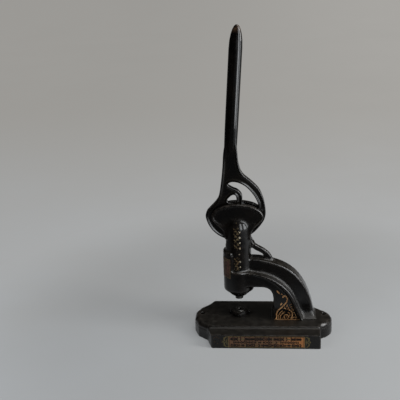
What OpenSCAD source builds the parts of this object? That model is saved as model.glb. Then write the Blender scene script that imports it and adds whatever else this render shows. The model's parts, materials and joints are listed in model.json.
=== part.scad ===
// Hand lever press with a spiral cam on the lever hub, a spring-returned ram and a four-screw die holder.
// Frame: X along the base towards the heel, Y away from the ornamented side, Z up.
// The origin is the middle of the base's underside, halfway between its two bench screw holes.

/* [Base] */
// Length of the base over its two tabs
plate_l = 217; // [200:1:262]
// Width of the base plate, without the front ledge
plate_w = 88; // [80:1:106]
// Height of the base plate
base_h = 26; // [22:1:32]
// Thickness of the plate over its hollow underside
plate_t = 9; // [8:0.5:11]
// Thickness of the outer walls of the base
base_wall = 7; // [5:0.5:9]
// How far the front ledge stands out from the plate
ledge_w = 23; // [14:1:28]
// How far the top of the ledge lies below the plate
ledge_drop = 3; // [2:0.5:4]
// Distance between the two bench screw holes
bench_hole_pitch = 193; // [186:1:194]
// Radius of the bench screw holes
bench_hole_r = 3.6; // [3:0.1:4.5]

/* [Frame] */
// Distance from the ram axis to the inside of the leg
throat = 54; // [45:1:60]
// Distance from the middle of the base to the ram axis
ram_offset = 37; // [32:1:42]
// Length of the leg along the base
leg_l = 47; // [44:1:52]
// Length of the outer arm's foot behind the leg
heel_l = 16; // [14:1:18]
// Clear height between the base plate and the ram tip
daylight = 28.5; // [24:0.5:34]
// Radius of the column
column_r = 20; // [18:0.5:22]
// Radius of the barrel at the foot of the column
barrel_r = 24; // [22:0.5:27]
// Height of the barrel
barrel_h = 36; // [32:1:42]
// Height of the raised panel on the front of the column
panel_h = 31; // [20:1:36]
// Half thickness of the outer arm
arm_t = 12; // [9:0.5:14]
// Half thickness of the inner C of the frame
body_t = 22; // [18:0.5:24]
// Half thickness of the two cheeks and the slot between them
head_t = 13; // [12:0.5:15]
// Half thickness of the strut behind the column
strut_t = 4; // [3:0.5:6]

/* [Lever] */
// Height of the pivot above the bottom of the barrel
pivot_rise = 125; // [122:1:132]
// Distance from the pivot to the tip of the handle
lever_l = 289.5; // [240:0.5:350]
// Width of the handle
handle_w = 20.2; // [17:0.1:24]
// Thickness of the handle
handle_t = 14; // [11.5:0.5:17]
// How far the handle leans back at rest, in degrees
handle_lean = 4.1; // [2:0.1:5]
// Thickness of the lever's hub and cam
cam_t = 10; // [8:0.5:12]
// Travel of the lever, in degrees
lever_travel = 80; // [66:1:82]
// How far the ram moves for each degree of the lever
cam_rate = 0.1; // [0.08:0.01:0.12]
// Distance from the pivot to the roller's centre at rest
pitch_r = 48.5; // [46:0.5:51]

/* [Ram] */
// Radius of the ram's upper body
ram_r = 11.95; // [10:0.05:12.5]
// Radius of the ram's stem and tip
stem_r = 6.2; // [5.2:0.1:7]
// Radius of the cam roller
roller_r = 8; // [7:0.5:9]
// Radius of the roller's pin
roller_pin_r = 3; // [2.5:0.5:3.5]
// Length of the ram's body below the roller
ram_body_l = 32; // [29:1:37]
// How far the ram's tip stands out of the nose cap
tip_out = 6; // [5:0.5:8]
// Radius of the socket for a punch
socket_r = 3.2; // [2.7:0.1:3.8]
// Depth of the socket for a punch
socket_l = 14; // [10:1:17]
// Height of the nose cap below the barrel
cap_h = 10.5; // [8.5:0.5:13]
// Length of the nose cap's threaded plug
plug_l = 14; // [11:1:17]
// Radius of the nose cap's threaded plug
plug_r = 15; // [13.5:0.5:17]
// Radius of the return spring's wire
wire_r = 1.1; // [0.9:0.1:1.3]

/* [Fits and fasteners] */
// Radius of the pivot bolt's shank
pivot_r = 6; // [5:0.5:7]
// Radius of the hub bush
bush_r = 9; // [8:0.5:10]
// Radius of the stop pin
stop_r = 3; // [2.5:0.5:3.5]
// Radius of the frame bolts
bolt_r = 4; // [3.5:0.5:5]
// Radial running clearance of shafts in their bores
run_gap = 0.05; // [0.03:0.01:0.08]
// Clearance beside the lever and the roller
side_gap = 0.2; // [0.15:0.05:0.4]

/* [Die holder] */
// Radius of the die ring
ring_r = 12.5; // [11.5:0.5:15]
// Height of the die ring
ring_h = 7; // [6.5:0.5:8.5]
// Radius of the die button
button_r = 8; // [7:0.5:9]
// Height of the die button
button_h = 6; // [5.5:0.5:7]
// Radius of the die screws' threads
die_screw_r = 2; // [1.6:0.1:2.2]

/* [Hidden] */
$fn = 64;
eps = 0.01;
over = 1;

// Colours of the finishes
japan = [0.05, 0.05, 0.055];
steel = [0.62, 0.62, 0.64];
dark_steel = [0.3, 0.3, 0.32];
bronze = [0.72, 0.5, 0.26];

// Heights, from the underside of the base upwards
half_l = plate_l / 2;
half_w = plate_w / 2;
ledge_z = base_h - ledge_drop;
hollow_z = base_h - plate_t;
tip_z = base_h + daylight;
cap_z = tip_z + tip_out;
barrel_z = cap_z + cap_h;
shelf_z = barrel_z + barrel_h;
pivot_z = barrel_z + pivot_rise;
roller_z = pivot_z - pitch_r;
shoulder_z = roller_z - ram_body_l;
plug_z = barrel_z + plug_l;

// Places along the base
ram_x = -ram_offset;
leg_x = ram_x + throat;
leg_back_x = leg_x + leg_l;
heel_x = leg_back_x + heel_l;

// The slot between the cheeks and what runs in it
slot_t = cam_t / 2 + side_gap;
slot_room = 1.5;
bore_r = ram_r + run_gap;
ram_slot_z = roller_z - roller_r - slot_room;
ram_top_z = roller_z + 6;
stroke = cam_rate * lever_travel;
cam_from = -20;
cam_to = lever_travel + 8;
ledge_front_y = -half_w - ledge_w;

// ---------- Curves ----------

// A point on a cubic Bezier curve
function bezier(a, b, c, d, t) =
    pow(1 - t, 3) * a + 3 * pow(1 - t, 2) * t * b + 3 * (1 - t) * t * t * c + t * t * t * d;

// Points along a cubic Bezier curve
function bezier_points(a, b, c, d, n = 10) = [for (i = [0 : n]) bezier(a, b, c, d, i / n)];

// A point of a smooth curve between b and c, with a and d as its neighbours
function between(a, b, c, d, t) =
    0.5 * (2 * b + (c - a) * t + (2 * a - 5 * b + 4 * c - d) * t * t + (3 * b - a - 3 * c + d) * t * t * t);

// Points of a smooth open curve through p
function smooth_open(p, n = 4) = [
    for (i = [0 : len(p) - 2], k = [0 : n - 1])
        between(p[max(i - 1, 0)], p[i], p[i + 1], p[min(i + 2, len(p) - 1)], k / n),
    p[len(p) - 1]
];

// Points of a smooth closed curve through p
function smooth_closed(p, n = 4) = let (m = len(p)) [
    for (i = [0 : m - 1], k = [0 : n - 1])
        between(p[(i + m - 1) % m], p[i], p[(i + 1) % m], p[(i + 2) % m], k / n)
];

// Rounds the corners of an outline whose points are [x, y, corner radius]
function rounded(p, n = 5) = let (m = len(p)) [
    for (i = [0 : m - 1])
        let (
            b = [p[i][0], p[i][1]],
            to_a = unit([p[(i + m - 1) % m][0], p[(i + m - 1) % m][1]] - b),
            to_c = unit([p[(i + 1) % m][0], p[(i + 1) % m][1]] - b),
            half = acos(to_a * to_c) / 2,
            reach = p[i][2] / tan(half)
        )
        for (k = [0 : n]) quadratic(b + reach * to_a, b, b + reach * to_c, k / n)
];
function unit(v) = v / norm(v);
function quadratic(a, b, c, t) = pow(1 - t, 2) * a + 2 * (1 - t) * t * b + t * t * c;

// Draws an X-Z outline as a plate that is centred on the plane y = 0
module upright(half_t) {
    rotate([90, 0, 0]) linear_extrude(height = 2 * half_t, center = true) children();
}

// A screwdriver slot across the end, at y, of a screw along Y
module driver_slot(y, z, width, depth, screw_r) {
    translate([-width / 2, y - depth, z - screw_r - over])
        cube([width, depth + over, 2 * (screw_r + over)]);
}

// A cylinder along Y from y0 to y1
module along_y(x, z, y0, y1, r) {
    translate([x, y0, z]) rotate([-90, 0, 0]) cylinder(r = r, h = y1 - y0);
}

// ---------- Base ----------

tab_r = 28.5;
tab_centre = [half_l - tab_r + 0.5, -8];
end_taper = 28;
ledge_end_x = half_l - 19.5;

function plate_outline() = rounded([
    [-half_l + end_taper, half_w, 3],
    [-half_l + 7, half_w - 22, 9],
    [-half_l, 8, 9],
    [-half_l, -12, 9],
    [-half_l + 7, -half_w + 14, 9],
    [-half_l + end_taper - 5, -half_w, 3],
    [ledge_end_x, -half_w, 1],
    [ledge_end_x, half_w - 28, 8],
    [half_l - 46, half_w, 6]
]);

function ledge_outline() = rounded([
    [-half_l + end_taper + 3, -half_w + 2, 0.5],
    [-half_l + end_taper - 6, -half_w + 1, 1],
    [-half_l + end_taper + 1.5, ledge_front_y, 2.5],
    [ledge_end_x, ledge_front_y, 1.5],
    [ledge_end_x, -half_w + 2, 0.5]
]);

rib_t = 6;
rib_x = 0;
pocket_r = 5;
pocket_x = [-half_l + end_taper + 4, rib_x - rib_t / 2, rib_x + rib_t / 2, ledge_end_x - base_wall];
bolt_gap = 0.4;
spigot_gap = 0.1;

module base_pockets() {
    for (i = [0, 2])
        translate([0, 0, -over]) linear_extrude(height = hollow_z + over)
            polygon(rounded([
                [pocket_x[i], half_w - base_wall, pocket_r],
                [pocket_x[i], ledge_front_y + base_wall, pocket_r],
                [pocket_x[i + 1], ledge_front_y + base_wall, pocket_r],
                [pocket_x[i + 1], half_w - base_wall, pocket_r]
            ]));
}

module base() {
    color(japan) difference() {
        union() {
            linear_extrude(height = base_h) polygon(plate_outline());
            linear_extrude(height = ledge_z) polygon(ledge_outline());
            translate(tab_centre) cylinder(r = tab_r, h = base_h);
        }
        base_pockets();
        for (side = [-1, 1])
            translate([side * bench_hole_pitch / 2, 0, -over])
                cylinder(r = bench_hole_r, h = base_h + 2 * over);
        for (p = bolt_places)
            translate([p[0], p[1], hollow_z - over]) cylinder(r = bolt_r + bolt_gap, h = plate_t + 2 * over);
        for (x = dowel_x)
            translate([x, 0, dowel_z]) cylinder(r = dowel_r, h = base_h);
        translate([ram_x, 0, hollow_z - over]) cylinder(r = spigot_r + spigot_gap, h = plate_t + 2 * over);
    }
}

// ---------- Frame ----------

arm_rise = 17.5;
arm_top_z = shelf_z + arm_rise;
arch_z = barrel_z + 11;
foot_r = 8;

// The back and top of the outer arm, from the column to the heel
function arm_back() = concat(
    bezier_points(
        [ram_x + 32, arm_top_z], [leg_x + 12, arm_top_z - 7],
        [leg_back_x + 1.5, arm_top_z - 13.5], [heel_x, base_h + 11], 14),
    [[heel_x + 1, base_h]]
);

// The shelf between the inner C and the outer arm
function shelf_curve(inset = 0) = concat(
    bezier_points(
        [ram_x + 22, shelf_z - 1.5],
        [leg_x - 5, shelf_z - 4 - inset / 2],
        [leg_back_x - 29 - inset, shelf_z - 17 - inset],
        [leg_back_x - 16 - inset, shelf_z - 41 - inset / 3], 12),
    [[leg_back_x - inset, base_h]]
);

// The throat, from the foot of the leg up and over to the barrel
function throat_curve() = concat(
    bezier_points(
        [leg_x - foot_r + 2, base_h], [leg_x - 2, base_h + 0.5],
        [leg_x, base_h + 3], [leg_x, base_h + foot_r + 2], 6),
    bezier_points(
        [leg_x, arch_z - 20], [leg_x - 0.5, arch_z - 6],
        [leg_x - 7, arch_z], [leg_x - 18, arch_z], 10),
    [[ram_x + 10, arch_z]]
);

module inner_c() {
    upright(body_t) polygon(concat(throat_curve(), [[ram_x + 10, shelf_z - 1.5]], shelf_curve()));
}

// The raised bead along the outer edge of the inner C
bead_w = 5;
bead_proud = 3.5;

module bead() {
    inner = shelf_curve(bead_w);
    upright(body_t + bead_proud)
        polygon(concat(shelf_curve(), [for (i = [len(inner) - 1 : -1 : 1]) inner[i]]));
}

module outer_arm() {
    upright(arm_t) polygon(concat(
        [[leg_x + 6, base_h], [leg_x + 6, arch_z + 4], [ram_x + 5, arch_z + 4], [ram_x + 5, arm_top_z]],
        arm_back()));
}

// The widened foot of the outer arm: a hollow curve behind the arm, crossed with one on both sides of it
module heel() {
    heel_h = 15;
    heel_half_w = 20;
    rear = bezier_points(
        [heel_x - 1, base_h + heel_h], [heel_x + 1, base_h + 6], [heel_x + 2, base_h + 2],
        [heel_x + 5, base_h]);
    flare = bezier_points(
        [arm_t - 1, base_h + heel_h], [arm_t, base_h + 7], [arm_t + 4, base_h + 2],
        [heel_half_w, base_h + 0.5]);
    intersection() {
        upright(heel_half_w + over)
            polygon(concat([[leg_back_x - 2, base_h], [leg_back_x - 8, base_h + heel_h]], rear));
        rotate([90, 0, 90]) translate([0, 0, leg_back_x - 10]) linear_extrude(height = 40) polygon(concat(
            [[heel_half_w, base_h]],
            [for (i = [len(flare) - 1 : -1 : 0]) flare[i]],
            [for (q = flare) [-q[0], q[1]]],
            [[-heel_half_w, base_h]]
        ));
    }
}

strut_root_t = 7.5;

// The curved strut from the back of the column to the top of the arm
function strut_outline() = concat(
    smooth_open([
        [ram_x + 15, barrel_z + 96], [ram_x + 20, barrel_z + 87.5], [ram_x + 25, barrel_z + 78.5],
        [ram_x + 31, barrel_z + 73.5], [ram_x + 39, barrel_z + 69], [ram_x + 48, barrel_z + 61.5],
        [ram_x + 53, barrel_z + 53.5]
    ]),
    [[ram_x + 55, arm_top_z - 5]],
    smooth_open([
        [ram_x + 39.5, arm_top_z - 2], [ram_x + 38, barrel_z + 59.5], [ram_x + 32, barrel_z + 63.5],
        [ram_x + 26, barrel_z + 67], [ram_x + 20, barrel_z + 71.5], [ram_x + 15, barrel_z + 76]
    ])
);

// The strut, with the wider root that stands on both sides of the lever's slot
module strut() {
    upright(strut_t) polygon(strut_outline());
    upright(strut_root_t) intersection() {
        polygon(strut_outline());
        translate([ram_x, pivot_z]) circle(r = head_slot_r + 3);
    }
}

cheek_a = 40;
cheek_b = 20;

// The oval cheeks and the neck that carries them
module head_plate() {
    neck = bezier_points([column_r, -37], [column_r, -23], [25, -19], [33, -12], 6);
    mirrored = [for (i = [len(neck) - 1 : -1 : 0]) [-neck[i][0], neck[i][1]]];
    translate([ram_x, 0, pivot_z]) upright(head_t) {
        polygon([for (a = [0 : 7.5 : 359]) [cheek_a * cos(a), cheek_b * sin(a)]]);
        polygon(concat(neck, mirrored));
    }
}

// A part of a round panel in front of the column, from one height to another
module front_panel(half_angle) {
    n = 12;
    far = 2 * barrel_r;
    fan = [for (i = [-n : n]) let (a = 180 + half_angle * i / n) [far * cos(a), far * sin(a)]];
    translate([ram_x, 0, shelf_z - eps]) intersection() {
        cylinder(r = barrel_r, h = panel_h);
        translate([0, 0, -over]) linear_extrude(height = panel_h + 2 * over) polygon(concat([[0, 0]], fan));
    }
}

barrel_edge = 3;

module column() {
    dome_z = pivot_z - column_r;
    translate([ram_x, 0, shelf_z - 5]) cylinder(r = column_r, h = dome_z - shelf_z + 5);
    translate([ram_x, 0, dome_z]) sphere(r = column_r);
    translate([ram_x, 0, 0]) rotate_extrude() polygon(concat(
        [[0, barrel_z]],
        [for (a = [0 : 15 : 90])
            [barrel_r - barrel_edge * (1 - sin(a)), barrel_z + barrel_edge * (1 - cos(a))]],
        [[barrel_r, shelf_z], [0, shelf_z]]));
    front_panel(63);
}

stop_ring_r = 26;
stop_angle = -lever_travel / 2;
stop_x = ram_x - stop_ring_r * sin(stop_angle);
stop_z = pivot_z - stop_ring_r * cos(stop_angle);
blind_y = -head_t + 3;
back_y = column_r + over;
cam_room = 2.2;
head_slot_r = pitch_r + cam_rate * cam_to - roller_r + cam_room;
spotface_r = 12.5;
bore_over = 3;

module frame_cuts() {
    along_y(ram_x, pivot_z, -slot_t, slot_t, head_slot_r);
    translate([ram_x - 1.5 * cheek_a, -slot_t, pivot_z]) cube([3 * cheek_a, 2 * slot_t, cheek_b + over]);
    translate([ram_x, 0, plug_z - over]) cylinder(r = bore_r, h = ram_top_z + bore_over - plug_z + over);
    translate([ram_x, 0, barrel_z - over]) cylinder(r = plug_r, h = plug_l + over);
    along_y(ram_x, pivot_z, blind_y, back_y, pivot_r);
    along_y(ram_x, pivot_z, head_t, back_y, spotface_r);
    along_y(stop_x, stop_z, blind_y, back_y, stop_r);
    along_y(ram_x, key_z, 0, back_y, key_r);
    for (p = bolt_places)
        translate([p[0], p[1], base_h - over]) cylinder(r = bolt_r, h = bolt_depth + over);
    for (x = dowel_x)
        translate([x, 0, base_h - over]) cylinder(r = dowel_r, h = dowel_l / 2 + over);
}

module frame() {
    color(japan) difference() {
        union() {
            column();
            head_plate();
            inner_c();
            bead();
            outer_arm();
            heel();
            strut();
        }
        frame_cuts();
    }
}

// ---------- Fasteners between base and frame ----------

bolt_places = [for (x = [leg_x + 10, leg_x + 33], y = [-13, 13]) [x, y]];
bolt_depth = 16;
bolt_head_r = 1.8 * bolt_r;
bolt_head_h = 5.3;
bolt_end_gap = 1;
washer_t = 1.6;
washer_rim = 1.2;
dowel_r = 3;
dowel_l = 16;
dowel_z = base_h - dowel_l / 2;
dowel_x = [leg_x + 21.5, leg_back_x + 3];

module frame_bolts() {
    shank_l = plate_t + washer_t + bolt_depth - bolt_end_gap;
    color(dark_steel) for (p = bolt_places)
        translate([p[0], p[1], hollow_z - washer_t]) {
            translate([0, 0, -bolt_head_h]) cylinder(r = bolt_head_r, h = bolt_head_h, $fn = 6);
            translate([0, 0, -eps]) cylinder(r = bolt_r, h = shank_l + eps);
        }
}

module frame_washers() {
    color(steel) for (p = bolt_places)
        translate([p[0], p[1], hollow_z - washer_t]) difference() {
            cylinder(r = bolt_head_r + washer_rim, h = washer_t);
            translate([0, 0, -over]) cylinder(r = bolt_r, h = washer_t + 2 * over);
        }
}

module frame_dowels() {
    color(steel) for (x = dowel_x)
        translate([x, 0, dowel_z]) cylinder(r = dowel_r, h = dowel_l);
}

// ---------- Lever ----------

// The roller centre's path round the pivot, seen from the lever, at an angle a from straight down
function path_r(a) = pitch_r + cam_rate * a;
function path_point(a) = path_r(a) * [-sin(a), -cos(a)];
function path_tangent(a) = cam_rate * 180 / PI * [-sin(a), -cos(a)] + path_r(a) * [-cos(a), sin(a)];

// The cam's edge, one roller radius inside that path
function cam_point(a) = let (t = unit(path_tangent(a)))
    path_point(a) + (roller_r + run_gap) * [t[1], -t[0]];

plate_top = 104;
plate_end = 134;
plate_end_w = 0.25 * handle_w;
grip_c = function (v) -8.8 + (v - plate_top) * tan(handle_lean);

// The outline of the hub plate, round the cam, up the front edge and down the back edge
function hub_outline() = concat(
    [for (a = [cam_from : 2 : cam_to]) cam_point(a)],
    smooth_open([
        cam_point(cam_to) + [0.7, 4], cam_point(cam_to) + [3, 8.6], cam_point(cam_to) + [7, 13],
        [-31.5, 24.2], [-27.1, 35], [-23.6, 56.6], [-21.2, 78],
        [grip_c(plate_top) - handle_w / 2, plate_top], [grip_c(plate_end) - plate_end_w, plate_end]
    ]),
    smooth_open([
        [grip_c(plate_end) + plate_end_w, plate_end], [grip_c(plate_top) + handle_w / 2, plate_top],
        [3, 83], [8.5, 67], [21.8, 54.5], [33.2, 42], [39.6, 27.5], [42.4, 14], [43.1, 2],
        [40.5, -8], [34, -18], [25, -28], [18, -33.5]
    ])
);

// The large opening between the scroll and the hub's back edge
function large_opening() = smooth_closed([
    [-14.2, 49.4], [-9.3, 53.4], [-1.6, 53.4], [6.1, 50.8], [13.7, 45.9], [21.4, 37.6], [27.4, 28.5],
    [31.9, 17], [31, 10], [24, 10.5], [16, 13.2], [9.5, 17.5], [7.6, 22], [7.8, 30.5], [5.2, 36.2],
    [0, 41.2], [-6.4, 43.9]
]);

// The small opening under the scroll
function small_opening() = smooth_closed([
    [-15.4, 25], [-10.2, 31], [-5.4, 33.4], [-2, 31.2], [-1.2, 24.5], [-3.2, 20.3], [-8.5, 19.6], [-14, 21.3]
]);

// The curved slot in which the stop pin limits the lever
stop_gap = 0.2;
function stop_slot() = let (half = stop_r + stop_gap) concat(
    [for (a = [-90 : 15 : 90]) slot_point(stop_angle, 0) + half * turned(-stop_angle - a)],
    [for (a = [stop_angle + 8 : 8 : stop_angle + lever_travel - 8]) slot_point(a, half)],
    [for (a = [-90 : 15 : 90]) slot_point(stop_angle + lever_travel, 0)
        + half * turned(180 - stop_angle - lever_travel - a)],
    [for (a = [stop_angle + lever_travel - 8 : -8 : stop_angle + 8]) slot_point(a, -half)]
);
function slot_point(a, out) = (stop_ring_r + out) * [-sin(a), -cos(a)];
function turned(a) = [cos(a), sin(a)];

// The rounded handle, as rings of an oval section
grip_from = 88;
swell_l = 50;
taper_from = 205;
root_in = 0.6;
root_sink = 0.2;
tip_l = 34;
grip_n = 20;
function grip_half(v) = v < lever_l - tip_l ? 1 : sqrt(max(0, 1 - pow((v - lever_l + tip_l) / tip_l, 2)));
function grip_swell(v) = min(1, (v - grip_from) / swell_l);
function grip_ring(v) = let (
    s = grip_swell(v),
    root_b = cam_t / 2 - root_sink,
    a = (handle_w / 2 - root_in * (1 - s)) * grip_half(v),
    b = (root_b + s * (handle_t / 2 - root_b)) * grip_half(v)
) [for (i = [0 : grip_n - 1]) let (w = 360 * i / grip_n)
    [grip_c(v) + a * oval(cos(w)), b * oval(sin(w)), v]];
function oval(c) = sign(c) * pow(abs(c), 0.8);
grip_stations = concat(
    [grip_from, 96, plate_top, 116, 138, 170],
    [for (i = [0 : 3]) taper_from + i * (lever_l - tip_l - taper_from) / 3],
    [for (w = [20, 38, 53, 66, 76, 84]) lever_l - tip_l + tip_l * sin(w)]
);

module grip() {
    rings = len(grip_stations);
    points = concat([for (v = grip_stations) each grip_ring(v)],
        [[grip_c(grip_from), 0, grip_from], [grip_c(lever_l), 0, lever_l]]);
    sides = [for (k = [0 : rings - 2], i = [0 : grip_n - 1]) let (j = (i + 1) % grip_n, a = k * grip_n)
        each [[a + i, a + grip_n + i, a + j], [a + j, a + grip_n + i, a + grip_n + j]]];
    last = (rings - 1) * grip_n;
    ends = [for (i = [0 : grip_n - 1]) let (j = (i + 1) % grip_n)
        each [[rings * grip_n, i, j], [rings * grip_n + 1, last + j, last + i]]];
    polyhedron(points, concat(sides, ends));
}

module lever() {
    color(japan) translate([ram_x, 0, pivot_z]) {
        difference() {
            upright(cam_t / 2) difference() {
                polygon(hub_outline());
                polygon(large_opening());
                polygon(small_opening());
                polygon(stop_slot());
            }
            along_y(0, 0, -cam_t, cam_t, bush_r);
        }
        grip();
    }
}

module hub_bush() {
    color(bronze) difference() {
        along_y(ram_x, pivot_z, -cam_t / 2, cam_t / 2, bush_r);
        along_y(ram_x, pivot_z, -cam_t, cam_t, pivot_r + run_gap);
    }
}

pivot_washer_t = 1.5;
pivot_head_h = 6;
pivot_head_r = 10;
centre_r = 2;
centre_h = 1;
end_gap = 0.3;
pin_in = 0.5;

module pivot_bolt() {
    head_y = head_t + pivot_washer_t;
    color(dark_steel) difference() {
        union() {
            along_y(ram_x, pivot_z, blind_y + end_gap, head_y + eps, pivot_r);
            translate([ram_x, head_y, pivot_z]) rotate([-90, 0, 0])
                cylinder(r = pivot_head_r, h = pivot_head_h, $fn = 6);
        }
        along_y(ram_x, pivot_z, head_y + pivot_head_h - centre_h, head_y + pivot_head_h + over, centre_r);
    }
}

module pivot_washer() {
    color(steel) difference() {
        along_y(ram_x, pivot_z, head_t, head_t + pivot_washer_t, pivot_head_r + 1);
        along_y(ram_x, pivot_z, head_t - over, head_t + pivot_washer_t + over, pivot_r);
    }
}

module stop_pin() {
    color(steel) along_y(stop_x, stop_z, blind_y + end_gap, head_t - pin_in, stop_r);
}

// ---------- Ram ----------

key_r = 3;
key_dog_r = 1.9;
key_depth = 2.4;
key_z = roller_z - 22;
key_side_gap = 0.1;
key_end_gap = 0.3;

module ram() {
    color(steel) translate([ram_x, 0, 0]) difference() {
        union() {
            translate([0, 0, shoulder_z]) cylinder(r = ram_r, h = ram_top_z - shoulder_z);
            translate([0, 0, tip_z]) cylinder(r = stem_r, h = shoulder_z - tip_z + eps);
        }
        translate([-2 * ram_r, -slot_t, ram_slot_z])
            cube([4 * ram_r, 2 * slot_t, ram_top_z - ram_slot_z + over]);
        along_y(0, roller_z, -2 * ram_r, 2 * ram_r, roller_pin_r);
        translate([0, 0, tip_z - over]) cylinder(r = socket_r, h = socket_l + over);
        along_y(0, punch_screw_z, 0, stem_r + over, punch_screw_r);
        translate([-key_dog_r - key_side_gap, ram_r - key_depth, key_z - key_dog_r - key_end_gap])
            cube([2 * (key_dog_r + key_side_gap), key_depth + over, stroke + 2 * (key_dog_r + key_end_gap)]);
    }
}

module cam_roller() {
    color(steel) difference() {
        along_y(ram_x, roller_z, -cam_t / 2, cam_t / 2, roller_r);
        along_y(ram_x, roller_z, -cam_t, cam_t, roller_pin_r + run_gap);
    }
}

module roller_pin() {
    half = sqrt(ram_r * ram_r - roller_pin_r * roller_pin_r) - end_gap / 3;
    color(dark_steel) along_y(ram_x, roller_z, -half, half, roller_pin_r);
}

punch_screw_r = 1.5;
punch_screw_z = tip_z + 2.6;

module punch_screw() {
    outer = stem_r - 0.3;
    color(dark_steel) translate([ram_x, 0, 0]) difference() {
        along_y(0, punch_screw_z, socket_r + 0.1, outer, punch_screw_r);
        driver_slot(outer, punch_screw_z, 0.5, 0.6, punch_screw_r);
    }
}

module ram_key_screw() {
    body_y = bore_r + 0.1;
    outer = column_r - 1;
    color(dark_steel) translate([ram_x, 0, 0]) difference() {
        union() {
            along_y(0, key_z, ram_r - key_depth + 0.2, body_y + eps, key_dog_r);
            along_y(0, key_z, body_y, outer, key_r);
        }
        driver_slot(outer, key_z, 1, 1.2, key_r);
    }
}

// ---------- Return spring ----------

spring_r = (stem_r + bore_r) / 2;
spring_turns = 7;
spring_steps = 16;
wire_n = 8;
spring_gap = 0.05;
spring_from = plug_z + wire_r;
spring_to = shoulder_z - wire_r - spring_gap;
end_rise = 2 * wire_r + 0.1;

// Height of the wire after a number of turns: the first and last turns lie close
function wire_z(t) = let (middle = (spring_to - spring_from - 2 * end_rise) / (spring_turns - 2))
    t < 1 ? spring_from + end_rise * t
    : t > spring_turns - 1 ? spring_to - end_rise * (spring_turns - t)
    : spring_from + end_rise + middle * (t - 1);

module return_spring() {
    rings = spring_turns * spring_steps;
    points = [for (k = [0 : rings], i = [0 : wire_n - 1]) let (
        t = k / spring_steps, a = 360 * t, w = 360 * i / wire_n, r = spring_r + wire_r * cos(w)
    ) [r * cos(a), r * sin(a), wire_z(t) + wire_r * sin(w)]];
    sides = [for (k = [0 : rings - 1], i = [0 : wire_n - 1]) let (j = (i + 1) % wire_n, a = k * wire_n)
        each [[a + i, a + j, a + wire_n + i], [a + j, a + wire_n + j, a + wire_n + i]]];
    start = [[for (i = [wire_n - 1 : -1 : 0]) i]];
    end = [[for (i = [0 : wire_n - 1]) rings * wire_n + i]];
    color(dark_steel) translate([ram_x, 0, 0]) polyhedron(points, concat(sides, start, end));
}

// ---------- Nose cap ----------

cap_steps = 4;
cap_top_r = barrel_r - barrel_edge;
cap_tip_r = stem_r + 3.8;
spanner_r = 1.6;
spanner_ring_r = 16.5;
spanner_l = cap_h - 3;

module nose_cap() {
    rise = cap_h / cap_steps;
    fall = (cap_top_r - cap_tip_r) / cap_steps;
    ridge = 0.8;
    outline = [for (i = [0 : cap_steps - 1]) let (z = cap_z + i * rise, r = cap_tip_r + i * fall)
        each [
            [r, z], [r + fall - ridge, z + rise * 0.55],
            [r + fall, z + rise * 0.75], [r + fall, z + rise]
        ]];
    color(japan) translate([ram_x, 0, 0]) difference() {
        rotate_extrude() polygon(concat(
            [[stem_r + run_gap, cap_z]], outline,
            [[plug_r, barrel_z], [plug_r, plug_z], [stem_r + run_gap, plug_z]]));
        for (side = [-1, 1])
            translate([0, side * spanner_ring_r, cap_z - over]) cylinder(r = spanner_r, h = spanner_l + over);
    }
}

// ---------- Die holder ----------

spigot_r = 7;
nut_r = 11;
nut_h = 6.5;
spigot_l = plate_t + nut_h + 2.5;
slug_r = 3.5;
button_proud = 1;
button_gap = 0.05;
ring_floor = ring_h - button_h + button_proud;
die_screw_z = base_h + ring_h / 2;
die_head_r = 2.9;
die_head_l = 3.2;
die_head_gap = 0.6;
die_slot_w = 0.9;
die_slot_h = 1.2;

module die_ring() {
    color(dark_steel) translate([ram_x, 0, base_h]) difference() {
        union() {
            cylinder(r = ring_r, h = ring_h);
            translate([0, 0, -spigot_l]) cylinder(r = spigot_r, h = spigot_l + eps);
        }
        translate([0, 0, ring_floor]) cylinder(r = button_r, h = ring_h);
        translate([0, 0, -spigot_l - over]) cylinder(r = slug_r, h = spigot_l + ring_h);
        for (a = [0 : 90 : 270])
            rotate([0, 90, a]) translate([-ring_h / 2, 0, 0]) cylinder(r = die_screw_r, h = ring_r + over);
    }
}

module die_ring_nut() {
    color(dark_steel) translate([ram_x, 0, hollow_z - nut_h]) difference() {
        cylinder(r = nut_r, h = nut_h, $fn = 6);
        translate([0, 0, -over]) cylinder(r = spigot_r, h = nut_h + 2 * over);
    }
}

module die_button() {
    color(steel) translate([ram_x, 0, base_h + ring_floor]) difference() {
        cylinder(r = button_r - button_gap, h = button_h);
        translate([0, 0, -over]) cylinder(r = socket_r, h = button_h + 2 * over);
    }
}

module die_screws() {
    head_at = ring_r + die_head_gap;
    color(dark_steel) translate([ram_x, 0, die_screw_z]) for (a = [0 : 90 : 270])
        rotate([0, 90, a]) difference() {
            union() {
                translate([0, 0, button_r]) cylinder(r = die_screw_r, h = head_at - button_r + eps);
                translate([0, 0, head_at]) cylinder(r = die_head_r, h = die_head_l);
            }
            translate([-die_head_r - over, -die_slot_w / 2, head_at + die_head_l - die_slot_h])
                cube([2 * (die_head_r + over), die_slot_w, die_slot_h + over]);
        }
}

base();
frame();
frame_bolts();
frame_washers();
frame_dowels();
lever();
hub_bush();
pivot_bolt();
pivot_washer();
stop_pin();
ram();
cam_roller();
roller_pin();
punch_screw();
return_spring();
nose_cap();
ram_key_screw();
die_ring();
die_ring_nut();
die_button();
die_screws();
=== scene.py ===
"""Finishes a hand lever press: its japanned castings, steel parts, gilt transfers and the stage it stands on."""

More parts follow.
